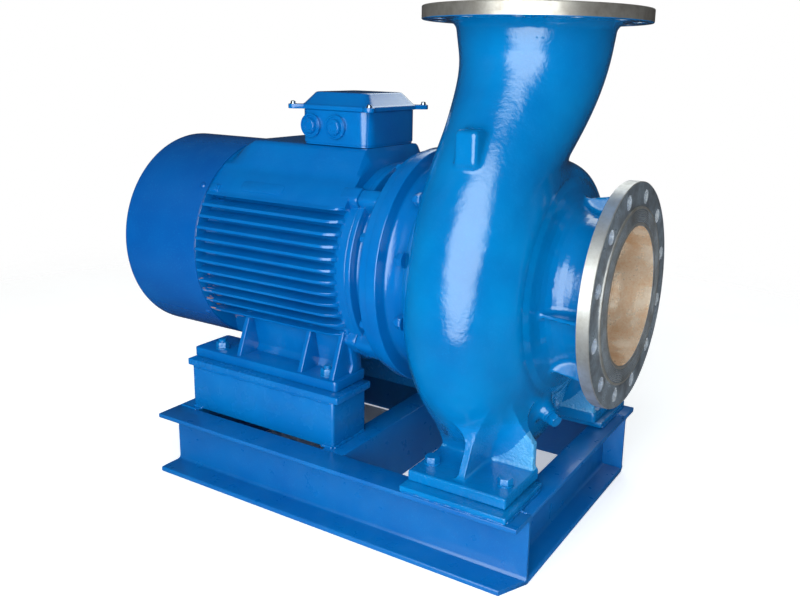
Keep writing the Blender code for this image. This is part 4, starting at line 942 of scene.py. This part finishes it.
def skinned(distance, low, high, cell, keep):
    """Surface of a distance field. The field is sampled on a grid, coarsely first and finely only
    near the surface. Each fine cell that the surface crosses takes one point, at the mean of its
    edges' crossings, and each grid edge that it crosses joins the four cells round it. The
    points then move onto the surface, p - distance * gradient, three times over. keep(p) says
    which faces stay. Returns points, faces and the surface's normals."""
    coarse = 4
    low, high = np.asarray(low, float), np.asarray(high, float)
    n = (np.ceil((high - low) / cell / coarse).astype(int)) * coarse + 1
    big = (n - 1) // coarse + 1
    lines = [low[k] + np.arange(big[k]) * cell * coarse for k in range(3)]
    grid = np.stack(np.meshgrid(*lines, indexing="ij"), -1)
    rough = distance(grid.reshape(-1, 3)).reshape(big)
    field = np.repeat(np.repeat(np.repeat(rough, coarse, 0), coarse, 1), coarse, 2)[:n[0], :n[1], :n[2]]
    near = np.abs(field) < cell * coarse * 1.9
    field[near] = distance(low + np.argwhere(near) * cell)
    total = np.zeros(tuple(n - 1) + (3,))
    count = np.zeros(tuple(n - 1))
    quads = []
    for axis in range(3):
        whole = np.moveaxis(field, axis, 0)
        f0, f1 = np.moveaxis(whole[:-1], 0, axis), np.moveaxis(whole[1:], 0, axis)
        cut = np.argwhere((f0 < 0) != (f1 < 0))
        a0, a1 = f0[tuple(cut.T)], f1[tuple(cut.T)]
        t = a0 / (a0 - a1)
        at = cut.astype(float)
        at[:, axis] += t
        b, c = (axis + 1) % 3, (axis + 2) % 3
        ok = (cut[:, b] > 0) & (cut[:, c] > 0) & (cut[:, b] < n[b] - 1) & (cut[:, c] < n[c] - 1)
        cut, at, rising = cut[ok], at[ok], (a0 < 0)[ok]
        cells = []
        for db, dc in ((-1, -1), (0, -1), (0, 0), (-1, 0)):
            cc = cut.copy()
            cc[:, b] += db
            cc[:, c] += dc
            np.add.at(total, tuple(cc.T), at)
            np.add.at(count, tuple(cc.T), 1.0)
            cells.append(np.ravel_multi_index(tuple(cc.T), tuple(n - 1)))
        q = np.stack(cells, 1)
        q[~rising] = q[~rising][:, ::-1]
        quads.append(q)
    quads = np.concatenate(quads)
    flat = count.reshape(-1)
    used = np.unique(quads)
    points = low + total.reshape(-1, 3)[used] / flat[used][:, None] * cell
    index = np.zeros(len(flat), int)
    index[used] = np.arange(len(used))
    quads = index[quads]
    tiny = 0.0004
    for _ in range(3):
        d = distance(points)
        grad = np.stack([distance(points + tiny * np.eye(3)[k]) - d for k in range(3)], 1) / tiny
        size = np.maximum((grad ** 2).sum(1), 0.25)
        points = points - np.clip(d, -cell, cell)[:, None] * grad / size[:, None]
    grad /= np.maximum(np.linalg.norm(grad, axis=1), 1e-9)[:, None]
    stay = keep(points[quads].mean(1))
    quads = quads[stay]
    used = np.unique(quads)
    index = np.zeros(len(points), int)
    index[used] = np.arange(len(used))
    return points[used], index[quads], grad[used]


def near_foot(p, grow=0.0):
    """True in the two blocks of space round the feet, which are skinned more finely."""
    y = np.abs(p[:, 1])
    return ((p[:, 0] > 0.2235 - grow) & (p[:, 0] < 0.4435 + grow) & (y > 0.128 - grow)
            & (p[:, 2] < 0.246 + grow))


def cast_iron_paint(name):
    """The same enamel over sand-cast iron, brushed on thick: swells of 42 mm, lumps of 6 mm and a
    sand grain of 1.7 mm, so that the edge of each highlight breaks up."""
    return blue_enamel(name, (42.0, 1.3), (6.0, 0.34), (1.7, 0.05), rough=(0.09, 0.17),
                       tones=("#00619F", "#0070AE"))


cast_paint = cast_iron_paint("blue_enamel_on_sand_casting")


def skin_piece(name, made, mat, slot, *nodes):
    """Piece from a skinned field, shaded by the field's own normals."""
    points, quads, normals = made
    obj = piece(name, (points, quads, []), mat, slot, *nodes, crease=None)
    obj.data.normals_split_custom_set_from_vertices(normals.astype(np.float32))
    return obj


# Grid sizes of the skin.
CELL = 0.0042
FOOT_CELL = 0.0026


def shows(p):
    """True where the casing's skin is kept: off the feet, behind both flanges, and clear of the
    flat back that the adapter's drum covers."""
    open_back = (p[:, 0] > 0.1905) | (np.hypot(p[:, 1], p[:, 2] - AXIS) > 0.2)
    return ~near_foot(p) & (p[:, 0] < FLANGE_BACK + 0.001) & (p[:, 2] < NECK_TOP + 0.001) & open_back


casing = skinned(casting_distance, (0.156, -0.306, 0.096), (0.520, 0.262, 0.944), CELL, shows)
skin_piece("casing", casing, cast_paint, "blue_enamel", "volute_casing")

# Pump feet: cast in iron with the casing, left rough, and painted thick. The enamel stands in
# deep wrinkles on the upright wall, under an arch that follows the casing's belly. There the wall
# is painted a paler blue, a painted highlight for the glitter of light on its wrinkles.

# Coarse sand casting under thick paint: a glitter of small, broken highlights.
foot_paint = blue_enamel("blue_enamel_on_rough_casting", (20.0, 1.2), (4.6, 0.70), (1.8, 0.15),
                         tones=("#0069AB", "#0076BA"))
# Deep wrinkles in the relief, and a painted highlight: a tone from light blue to pale cyan, far
# paler than the foot, that stands in for the glitter of light on the wrinkles.
wall_enamel_painted_highlight = blue_enamel("blue_enamel_with_painted_highlight_on_wall", (9.0, 0.9), (4.5, 2.2), (2.0, 0.45),
                         rough=(0.08, 0.14), tones=("#0A78BC", "#5FB0E0"))
for label, lo, hi in (("front", -0.283, -0.120), ("back", 0.120, 0.283)):
    foot = skinned(casting_distance, (0.214, lo, 0.134), (0.454, hi, 0.260), FOOT_CELL,
                   lambda p: near_foot(p, 0.005))
    obj = skin_piece("foot_" + label, foot, foot_paint, "blue_enamel", "pump_foot_" + label)
    obj.data.materials.append(wall_enamel_painted_highlight)
    middle = foot[0][foot[1]].mean(1)
    # The upright wall's faces under the arch take the paler enamel, a painted highlight.
    arch = FOOT_Z + 0.026 + 0.070 * np.clip((middle[:, 0] - 0.335) / 0.080, 0.0, 1.0) ** 2
    wall = (np.abs(middle[:, 1]) < 0.162) & (middle[:, 2] > FOOT_Z + 0.0215) & (middle[:, 2] < arch)
    obj.data.polygons.foreach_set("material_index", wall.astype(np.int32))

# Packing plates: a flame-cut steel plate under each foot brings the pump up to the motor's
# height. It is welded to the base along its three open edges and painted with the foot.
PACK_X0, PACK_X1, PACK_Y0, PACK_Y1 = FOOT_X0 - 0.003, FOOT_X1 + 0.012, 0.150, 0.296
for label, side in (("front", -1.0), ("back", 1.0)):
    y0, y1 = sorted((side * PACK_Y0, side * PACK_Y1))
    o = rounded([(PACK_X0, y0), (PACK_X1, y0), (PACK_X1, y1), (PACK_X0, y1)], 0.003)
    piece("packing_" + label, along(o, BASE_H + GAP, FOOT_Z - GAP, "Z", 0.0012), foot_paint, "blue_enamel",
          "packing_plate_" + label)
    y, z = side * (PACK_Y1 - 0.0015), BASE_H + 0.001
    welds = [bead((FOOT_X0, y, z), (FOOT_X1 + 0.010, y, z), 0.0024, side)]
    welds += [bead((x, y0 + 0.006, z), (x, y1 - 0.006, z), 0.0028, seed)
              for x, seed in ((PACK_X1, 3), (PACK_X0, 4))]
    piece("packing_welds_" + label, joined(*welds), weld_paint, "blue_enamel", crease=60.0)

# Water's way: the casting's own inside, behind the suction bore and under the discharge bore.
# The iron is bored and left bare, and a thin film of rust lies on it.

# Rust film on bored iron: a warm tan with a soft shine that the boring grooves streak.
rusty_bore = turned_steel("rust_filmed_bore", "#F8EEDF", "#CDB498", 2.4, "X", (0, 0, AXIS), groove=0.00030,
                          stain="#C8966A", rough=(0.22, 0.34), metal=0.45)
BORE_R, WAY_SHARE = 0.125, 0.865
way_in = eased([(SUCTION_FACE - 0.0012, BORE_R), (0.510, 0.1246), (0.490, 0.1235), (0.470, 0.1215),
                (0.445, 0.1165), (0.420, 0.1080), (0.375, 0.100), (0.3735, 0.165), (0.255, 0.165),
                (0.255, 0.1585), (0.2402, 0.1585)], 0.004)
piece("suction_way", uncapped(turned(way_in[::-1])), rusty_bore, "cast_impeller")


def neck_lining():
    """Tube inside the neck: circles of a share of the outer radius, square to the path, from the
    last third of the spiral to the flange."""
    keep = PATH[100::4]
    beta = np.linspace(0.0, 2.0 * math.pi, 64, endpoint=False)
    tangent = np.gradient(keep[:, :3], axis=0)
    tangent /= np.linalg.norm(tangent, axis=1)[:, None]
    e = np.array([1.0, 0.0, 0.0]) - tangent[:, :1] * tangent
    e /= np.linalg.norm(e, axis=1)[:, None]
    f = np.cross(tangent, e)
    circle = np.cos(beta)[None, :, None] * e[:, None] + np.sin(beta)[None, :, None] * f[:, None]
    lining = keep[:, None, :3] + keep[:, 3, None, None] * WAY_SHARE * circle
    lining[-1, :, 2] = NECK_TOP
    return rings(lining)


throat = turned([(NECK_TOP, BORE_R), (DISCH_FACE - 0.0012, BORE_R)], 64, "Z", (DISCH_X, 0.0, 0.0))
piece("discharge_way", joined(uncapped(neck_lining()), uncapped(throat)), rusty_bore, "cast_impeller")

# Pipe flanges: cast on, then faced and turned bare on the lathe. Each has twelve drilled holes,
# a raised ring with sealing grooves, and a painted back.

FLANGE_R, RAISED_R = 0.2025, 0.160
HOLE_RING, HOLE_R, HOLE_LIP, HOLES = 0.1775, 0.013, 0.0008, 12


def bolt_hole(edge, grow):
    """Rim of a bolt hole, a circle grown by a margin."""
    t = np.arctan2(edge[:, 0], edge[:, 1] - HOLE_RING)
    return np.stack([(HOLE_R + grow) * np.sin(t), HOLE_RING + (HOLE_R + grow) * np.cos(t)], 1)


def flange_shape(face):
    """Drilled ring with countersunk holes, raised ring with eight sealing grooves, back of the bore
    and rim, about the X axis with the sealing face at the given x."""
    near, far = face - RAISED_T, face - RAISED_T - FLANGE_T
    holes = holed_ring(RAISED_R, FLANGE_R - 0.0012, HOLES, 14, bolt_hole, [
        (near, 0.0, HOLE_LIP), (near, 0.5, HOLE_LIP), (near, 1.0, HOLE_LIP), (near - HOLE_LIP, 1.0, 0.0),
        (far + HOLE_LIP, 1.0, 0.0), (far, 1.0, HOLE_LIP), (far, 0.5, HOLE_LIP), (far, 0.0, HOLE_LIP)])
    r = np.linspace(RAISED_R - 0.0045, BORE_R + 0.006, 49)
    groove = face - 0.0010 * (0.5 - 0.5 * np.cos(2.0 * math.pi * np.arange(49) / 6.0))
    front = np.concatenate([[(near, RAISED_R), (face - 0.0014, RAISED_R), (face - 0.0005, RAISED_R - 0.0006),
                             (face, RAISED_R - 0.0018)],
                            np.stack([groove, r], 1), [(face, BORE_R + 0.0012), (face - 0.0012, BORE_R)]])
    bore = [(far - 0.001, BORE_R), (far, BORE_R + 0.0005), (far, RAISED_R)]
    rim = [(near, FLANGE_R - 0.0012), (near - 0.0012, FLANGE_R), (far + 0.0012, FLANGE_R),
           (far, FLANGE_R - 0.0012)]
    return joined(holes, *(uncapped(turned(profile, 168, centre=(0.0, 0.0, 0.0)))
                           for profile in (front, bore, rim)))


# Rim, grooves' crests and the raised ring's edge: bright, with fine turned rings that draw the light
# into a long streak. On the crests and the edge the brightness is partly a painted highlight.
steel_rim = turned_steel("turned_steel_flange_rim", "#EFEDEA", "#C4BEB6", 0.9, "X", (0, 0, AXIS),
                         groove=0.00018, rough=(0.36, 0.46), metal=0.85)
# Face and grooves' floors: greyer and half dulled by a film of rust.
steel_face = turned_steel("faced_steel_flange", "#AAB8C6", "#5C6A78", 0.9, "X", (0, 0, AXIS),
                          groove=0.00016, stain="#665E58", rough=(0.24, 0.40), metal=0.45)
# Drilled walls: bare drilled steel, toned near white as a painted highlight, so each hole reads as a light
# disc.
hole_wall_painted_highlight = turned_steel("drilled_steel_hole_painted_highlight", "#FAFCFE", "#D4D8DC", 0.6, "X", (0, 0, AXIS),
                             groove=0.00010, rough=(0.20, 0.30), metal=0.70)
# The upper flange is a warmer grey, and its rings run about an upright axis.
rim_up = turned_steel("turned_steel_discharge_rim", "#DCD6CE", "#A89E94", 0.9, "Z", (DISCH_X, 0, 0),
                      groove=0.00012, rough=(0.30, 0.42), metal=0.85)
back_paint = cast_iron_paint("blue_enamel_on_flange_back")


def flange(name, face, upright, node, face_mat, rim_mat):
    """One flange in place. Each of its faces is turned to look out of the iron: from the middle
    plane, from the shaft, or toward the centre of its hole. Each takes the finish of the
    surface that it lies on: the bare face, the rim and the grooves' crests, the painted back,
    or a hole's wall."""
    v, quads, _ = flange_shape(face)
    n = np.cross(v[quads[:, 2]] - v[quads[:, 0]], v[quads[:, 3]] - v[quads[:, 1]])
    x, y, z = v[quads].mean(1).T
    none = np.zeros_like(x)
    radius = np.hypot(y, z)
    steep = np.abs(n[:, 0]) < 0.5 * np.linalg.norm(n, axis=1)
    wall = steep & (np.abs(radius - HOLE_RING) < HOLE_R + 0.001)
    middle = face - RAISED_T - FLANGE_T / 2
    radial = np.stack([none, y, z], 1)
    sector = 2.0 * math.pi / HOLES
    spoke = (np.floor(np.arctan2(y, z) / sector) + 0.5) * sector
    hole = HOLE_RING * np.stack([none, np.sin(spoke), np.cos(spoke)], 1)
    out = np.where((radius > RAISED_R - 0.002)[:, None], radial, -radial)
    out = np.where(steep[:, None], out, np.stack([x - middle, none, none], 1))
    out = np.where(wall[:, None], hole - radial, out)
    turned_in = (n * out).sum(1) < 0.0
    quads[turned_in] = quads[turned_in][:, ::-1]
    v = v[:, [1, 2, 0]] + [DISCH_X, 0.0, 0.0] if upright else v + [0.0, 0.0, AXIS]
    obj = piece(name, (v, quads, []), face_mat, "machined_flange", node, crease=24.0)
    for mat in (rim_mat, back_paint, hole_wall_painted_highlight):
        obj.data.materials.append(mat)
    back = ~steep & (x < middle)
    # The grooves' crests and the raised ring's edge take the bright rim steel, partly as a painted highlight.
    crest = (radius < RAISED_R - 0.003) & (radius > BORE_R + 0.003) & (x > face - 0.00035)
    lip = (np.abs(radius - RAISED_R + 0.0005) < 0.0014) & (x > face - RAISED_T)
    bright = (radius > FLANGE_R - 0.0016) | crest | lip
    # Hole walls take the near-white steel: a painted highlight.
    which = np.select([back, wall, bright], [2, 3, 1], 0)
    obj.data.polygons.foreach_set("material_index", which.astype(np.int32))
    obj.data.update()


flange("suction_ring", SUCTION_FACE, False, "suction_flange", steel_face, steel_rim)
flange("discharge_ring", DISCH_FACE, True, "discharge_flange", rim_up, rim_up)

# Impeller: a closed wheel of bare cast iron, keyed on the end of the shaft. It shows only
# through the suction bore, with the film of rust that damp iron takes.

finish_node("impeller", turned_steel("cast_iron_impeller", "#7A6A58", "#4C4238", 2.0, "X", (0, 0, AXIS),
                                     stain="#7A4A28", rough=(0.45, 0.65)))


# Bolts: hexagon bolts and nuts of steel, each on its washer, painted over with the set. They
# hold the feet to the base, the shield to the frame, and the pump to the motor.

def hex_bolt(at, direction, across, tall, stub=0.0, spin=0.0):
    """Washer, hexagon head with its corners turned off, and the end of a stud where stub is given."""
    d, e, f = square_to(direction)
    c, s = math.cos(spin), math.sin(spin)
    e, f = e * c + f * s, f * c - e * s
    a = np.linspace(0.0, 2.0 * math.pi, 36, endpoint=False)
    hexr = across / 2.0 / np.cos((a + math.pi / 6.0) % (math.pi / 3.0) - math.pi / 6.0)
    cap = np.minimum(hexr, across / 2.0 * 1.02)
    washer = np.full_like(a, across * 0.62)
    top = 0.0026 + tall
    levels = [(0.0, washer), (0.0022, washer), (0.0026, washer * 0.97), (0.0026, hexr * 0.98), (0.0030, hexr),
              (0.0026 + tall * 0.80, hexr), (top, cap * 0.96), (top, cap * 0.6)]
    if stub:
        stud = np.full_like(a, across * 0.33)
        levels += [(top, stud), (top + stub - 0.001, stud), (top + stub, stud * 0.85)]
    stack = np.stack([np.asarray(at) + h * d + r[:, None] * (np.cos(a)[:, None] * e + np.sin(a)[:, None] * f)
                      for h, r in levels])
    return rings(stack)


foot_bolts = []
for sy in (-1.0, 1.0):
    for i, x in enumerate((0.262, 0.4065)):
        at = (x, sy * 0.226, FOOT_Z + 0.0202)
        foot_bolts.append(hex_bolt(at, (0, 0, 1), 0.024, 0.011, 0.0, 0.3 + i))
    for i, x in enumerate((-0.285, -0.005)):
        at = (x, sy * 0.183, FOOT_LOW + FEET_T)
        foot_bolts.append(hex_bolt(at, (0, 0, 1), 0.024, 0.012, 0.006, 0.7 + i))
piece("foot_bolts", joined(*foot_bolts), foot_paint, "blue_enamel", crease=30.0)


def bolt_circle(x, radius, angles, facing, across, tall, stub=0.0):
    """Bolts on a circle about the shaft, each at its angle in degrees from the top, with their heads
    toward the suction end (facing 1) or toward the motor (-1)."""
    return [hex_bolt((x, radius * math.sin(a), AXIS + radius * math.cos(a)), (facing, 0, 0), across,
                     tall, stub, a) for a in np.radians(angles)]


lug_bolts = bolt_circle(0.0935, 0.203, (-45.0, 45.0, -135.0, 135.0), 1, 0.015, 0.004)
studs = bolt_circle(0.1897, 0.2205, (np.arange(12) + 0.5) * 30.0, -1, 0.022, 0.012, 0.006)
studs += bolt_circle(0.098, 0.212, (np.arange(8) + 0.5) * 45.0, -1, 0.018, 0.009)
piece("joint_bolts", joined(*lug_bolts, *studs), shield_paint, "blue_enamel", crease=30.0)

# Cowl screws: four dome-headed steel screws, painted with the cowl, hold its rim to the rear
# end shield.
dome_head = [(-0.001, 0.0062), (0.0008, 0.0062), (0.0022, 0.0050), (0.0030, 0.0030), (0.0031, 0.0008)]
cowl_screws = []
for a in np.radians([-52.0, 52.0, -128.0, 128.0]):
    out = np.array([0.0, math.sin(a), math.cos(a)])
    cowl_screws.append(spun(dome_head, np.array([-0.334, 0.0, AXIS]) + out * COWL_R, out, 24))
piece("cowl_screws", joined(*cowl_screws), cowl_paint, "blue_enamel", crease=30.0)

# Drain plug: a steel plug with a hexagon head and a sealing washer, screwed into the boss low on
# the suction side and painted with the casing.
piece("drain", hex_bolt(DRAIN + DRAIN_WAY * GAP, DRAIN_WAY, 0.0225, 0.0135), cast_paint, "blue_enamel",
      "drain_plug", crease=30.0)

# Studio: a pale floor, and four soft lights: a tall one in front, a faint one at the right, one
# at the left, and one behind. The camera stands where the photograph was taken.

FLOOR_R, FLOOR_Z, FLOOR_GLOW = 2.7, -0.0006, 0.42
FADE_FROM, FADE_TO = 1.1, 2.6
BARE_X, BARE_HALF_X, BARE_HALF_Y = -0.165, 0.185, 0.235


def studio_floor():
    """Matt pale floor, mottled every 333 mm, that dissolves into the white backdrop between 1.1
    and 2.6 m out. A faint glow of its own keeps it pale in the set's soft shadow, but for a
    rectangle inside the base under the motor, where the shadow is deep."""
    mat, t, skin, at = new_finish("matt_pale_floor")
    mottle = add(t, "TexNoise", "Fac", {"Vector": at, "Scale": 1000 / 333.3, "Detail": 4.0})
    off_x = add(t, "Math", 0, {0: add(t, "SeparateXYZ", "X", {"Vector": at}), 1: -BARE_X}, operation="ADD")
    off_x = add(t, "Math", 0, {0: off_x}, operation="ABSOLUTE")
    off_y = add(t, "Math", 0, {0: add(t, "SeparateXYZ", "Y", {"Vector": at})}, operation="ABSOLUTE")
    lit = add(t, "Math", 0, {0: add(t, "Math", 0, {0: off_y, 1: BARE_HALF_Y}, operation="GREATER_THAN"),
                             1: add(t, "Math", 0, {0: off_x, 1: BARE_HALF_X}, operation="GREATER_THAN")},
              operation="MAXIMUM")
    out = add(t, "VectorMath", "Value", {0: at}, operation="LENGTH")
    fade = add(t, "MapRange", "Result", {"Value": out, "From Min": FADE_FROM, "From Max": FADE_TO,
                                         "To Min": 1.0, "To Max": 0.0}, interpolation_type="SMOOTHSTEP")
    wire(t, skin, {"Base Color": add(t, "ValToRGB", 0, {"Fac": mottle}, ((0.3, "#F4F4F4"), (0.7, "#FAFAFA"))),
                   "Roughness": 0.9, "Specular IOR Level": 0.1, "Alpha": fade,
                   "Emission Color": linear("#FFFFFF"),
                   "Emission Strength": add(t, "Math", 0, {0: lit, 1: FLOOR_GLOW}, operation="MULTIPLY")})
    a = np.linspace(0.0, 2.0 * math.pi, 96, endpoint=False)
    rim = np.stack([FLOOR_R * np.cos(a), FLOOR_R * np.sin(a), np.full_like(a, FLOOR_Z)], 1)
    mesh = bpy.data.meshes.new("floor")
    mesh.from_pydata(rim.tolist(), [], [list(range(96))])
    mesh.materials.append(mat)
    obj = bpy.data.objects.new("floor", mesh)
    scene.collection.objects.link(obj)
    obj.visible_glossy = False


studio_floor()


def heading(azimuth, elevation):
    """Unit vector in radians: azimuth from -Y toward +X, elevation from level."""
    return np.array([math.sin(azimuth) * math.cos(elevation), -math.cos(azimuth) * math.cos(elevation),
                     math.sin(elevation)])


def stand(obj, at, back, roll=0.0):
    """Put a lamp or a camera at a point with its rear toward back and its sides level, but for
    a roll in radians."""
    right = np.cross([0.0, 0.0, 1.0], back)
    right /= np.linalg.norm(right)
    up = np.cross(back, right)
    m = np.eye(4)
    m[:3, 0] = right * math.cos(roll) + up * math.sin(roll)
    m[:3, 1] = up * math.cos(roll) - right * math.sin(roll)
    m[:3, 2], m[:3, 3] = back, at
    obj.matrix_world = Matrix(m.tolist())


LIGHT_AIM = np.array([0.30, -0.10, 0.60])
LIGHT_TINT = "#F3FDFF"


def soft_light(name, azimuth, elevation, away, width, height, radiance, soft, shown=True):
    """Soft light in a direction from the set, in degrees. Its power is pi * area * radiance. It is
    an oval that fades over the soft share of its half size toward its edge, and where it isn't
    shown it makes no reflection."""
    lamp = bpy.data.lights.new(name, "AREA")
    lamp.shape = "RECTANGLE"
    lamp.size, lamp.size_y = width, height
    lamp.energy = math.pi * width * height * radiance
    lamp.color = linear(LIGHT_TINT)[:3]
    lamp.use_nodes = True
    t = lamp.node_tree
    spot = add(t, "VectorMath", "Vector", {0: add(t, "NewGeometry", "Parametric"), 1: (2.0, 2.0, 0.0),
                                           2: (-1.0, -1.0, 0.0)}, operation="MULTIPLY_ADD")
    out = add(t, "VectorMath", "Value", {0: spot}, operation="LENGTH")
    fade = add(t, "MapRange", "Result", {"Value": out, "From Min": 1.0 - soft, "From Max": 1.0, "To Min": 1.0,
                                         "To Max": 0.0}, interpolation_type="SMOOTHSTEP")
    wire(t, t.nodes["Emission"], {"Strength": fade})
    obj = bpy.data.objects.new(name, lamp)
    scene.collection.objects.link(obj)
    back = heading(math.radians(azimuth), math.radians(elevation))
    stand(obj, LIGHT_AIM + back * away, back)
    obj.visible_camera = False
    obj.visible_glossy = shown


# Azimuth, elevation, distance, width, height, radiance and soft share.
soft_light("front_softbox", 15.0, 13.0, 2.6, 3.7, 4.4, 4.9, 0.42)
soft_light("right_fill", 98.0, 40.0, 2.8, 1.8, 1.8, 0.75, 0.5, shown=False)
soft_light("left_fill", -50.0, 30.0, 2.8, 1.6, 2.2, 1.3, 0.5, shown=False)
soft_light("back_light", 200.0, 34.0, 3.0, 2.8, 2.6, 2.1, 0.6)

# The room is grey and lighter above. Mirrored rays meet it nearly black, so that only the lights
# shine in the paint, and the camera itself sees white.
world = bpy.data.worlds.new("studio")
scene.world = world
world.use_nodes = True
t = world.node_tree
height = add(t, "SeparateXYZ", "Z", {"Vector": add(t, "TexCoord", "Generated")})
height = add(t, "MapRange", "Result", {"Value": height, "From Min": -1.0})
room = add(t, "ValToRGB", 0, {"Fac": height}, ((0.0, 0.17), (1.0, 0.36)))
for ray, colour in (("Is Glossy Ray", "#27292D"), ("Is Camera Ray", "#FFFFFF")):
    room = add(t, "Mix", "Result", {"Factor": add(t, "LightPath", ray), "A": room, "B": linear(colour)},
               data_type="RGBA")
wire(t, t.nodes["Background"], {"Color": room, "Strength": 1.0})

# The lens in pixels, and the camera's angles and place, as solved from the photograph.
FOCAL_PX, PRINCIPAL, IMAGE_W, IMAGE_H, SENSOR = 842.16, (431.31, 261.83), 800.0, 600.0, 36.0
YAW, PITCH, ROLL = (math.radians(d) for d in (30.797, 13.3255, 1.3316))
EYE = (0.9587, -1.4144, 0.8556)
lens = bpy.data.cameras.new("photograph")
lens.sensor_width = SENSOR
lens.lens = FOCAL_PX / IMAGE_W * SENSOR
lens.shift_x = (IMAGE_W / 2 - PRINCIPAL[0]) / IMAGE_W
lens.shift_y = (PRINCIPAL[1] - IMAGE_H / 2) / IMAGE_W
camera = bpy.data.objects.new("photograph", lens)
scene.collection.objects.link(camera)
stand(camera, EYE, heading(YAW, PITCH), ROLL)
scene.camera = camera
scene.view_settings.view_transform = "Standard"
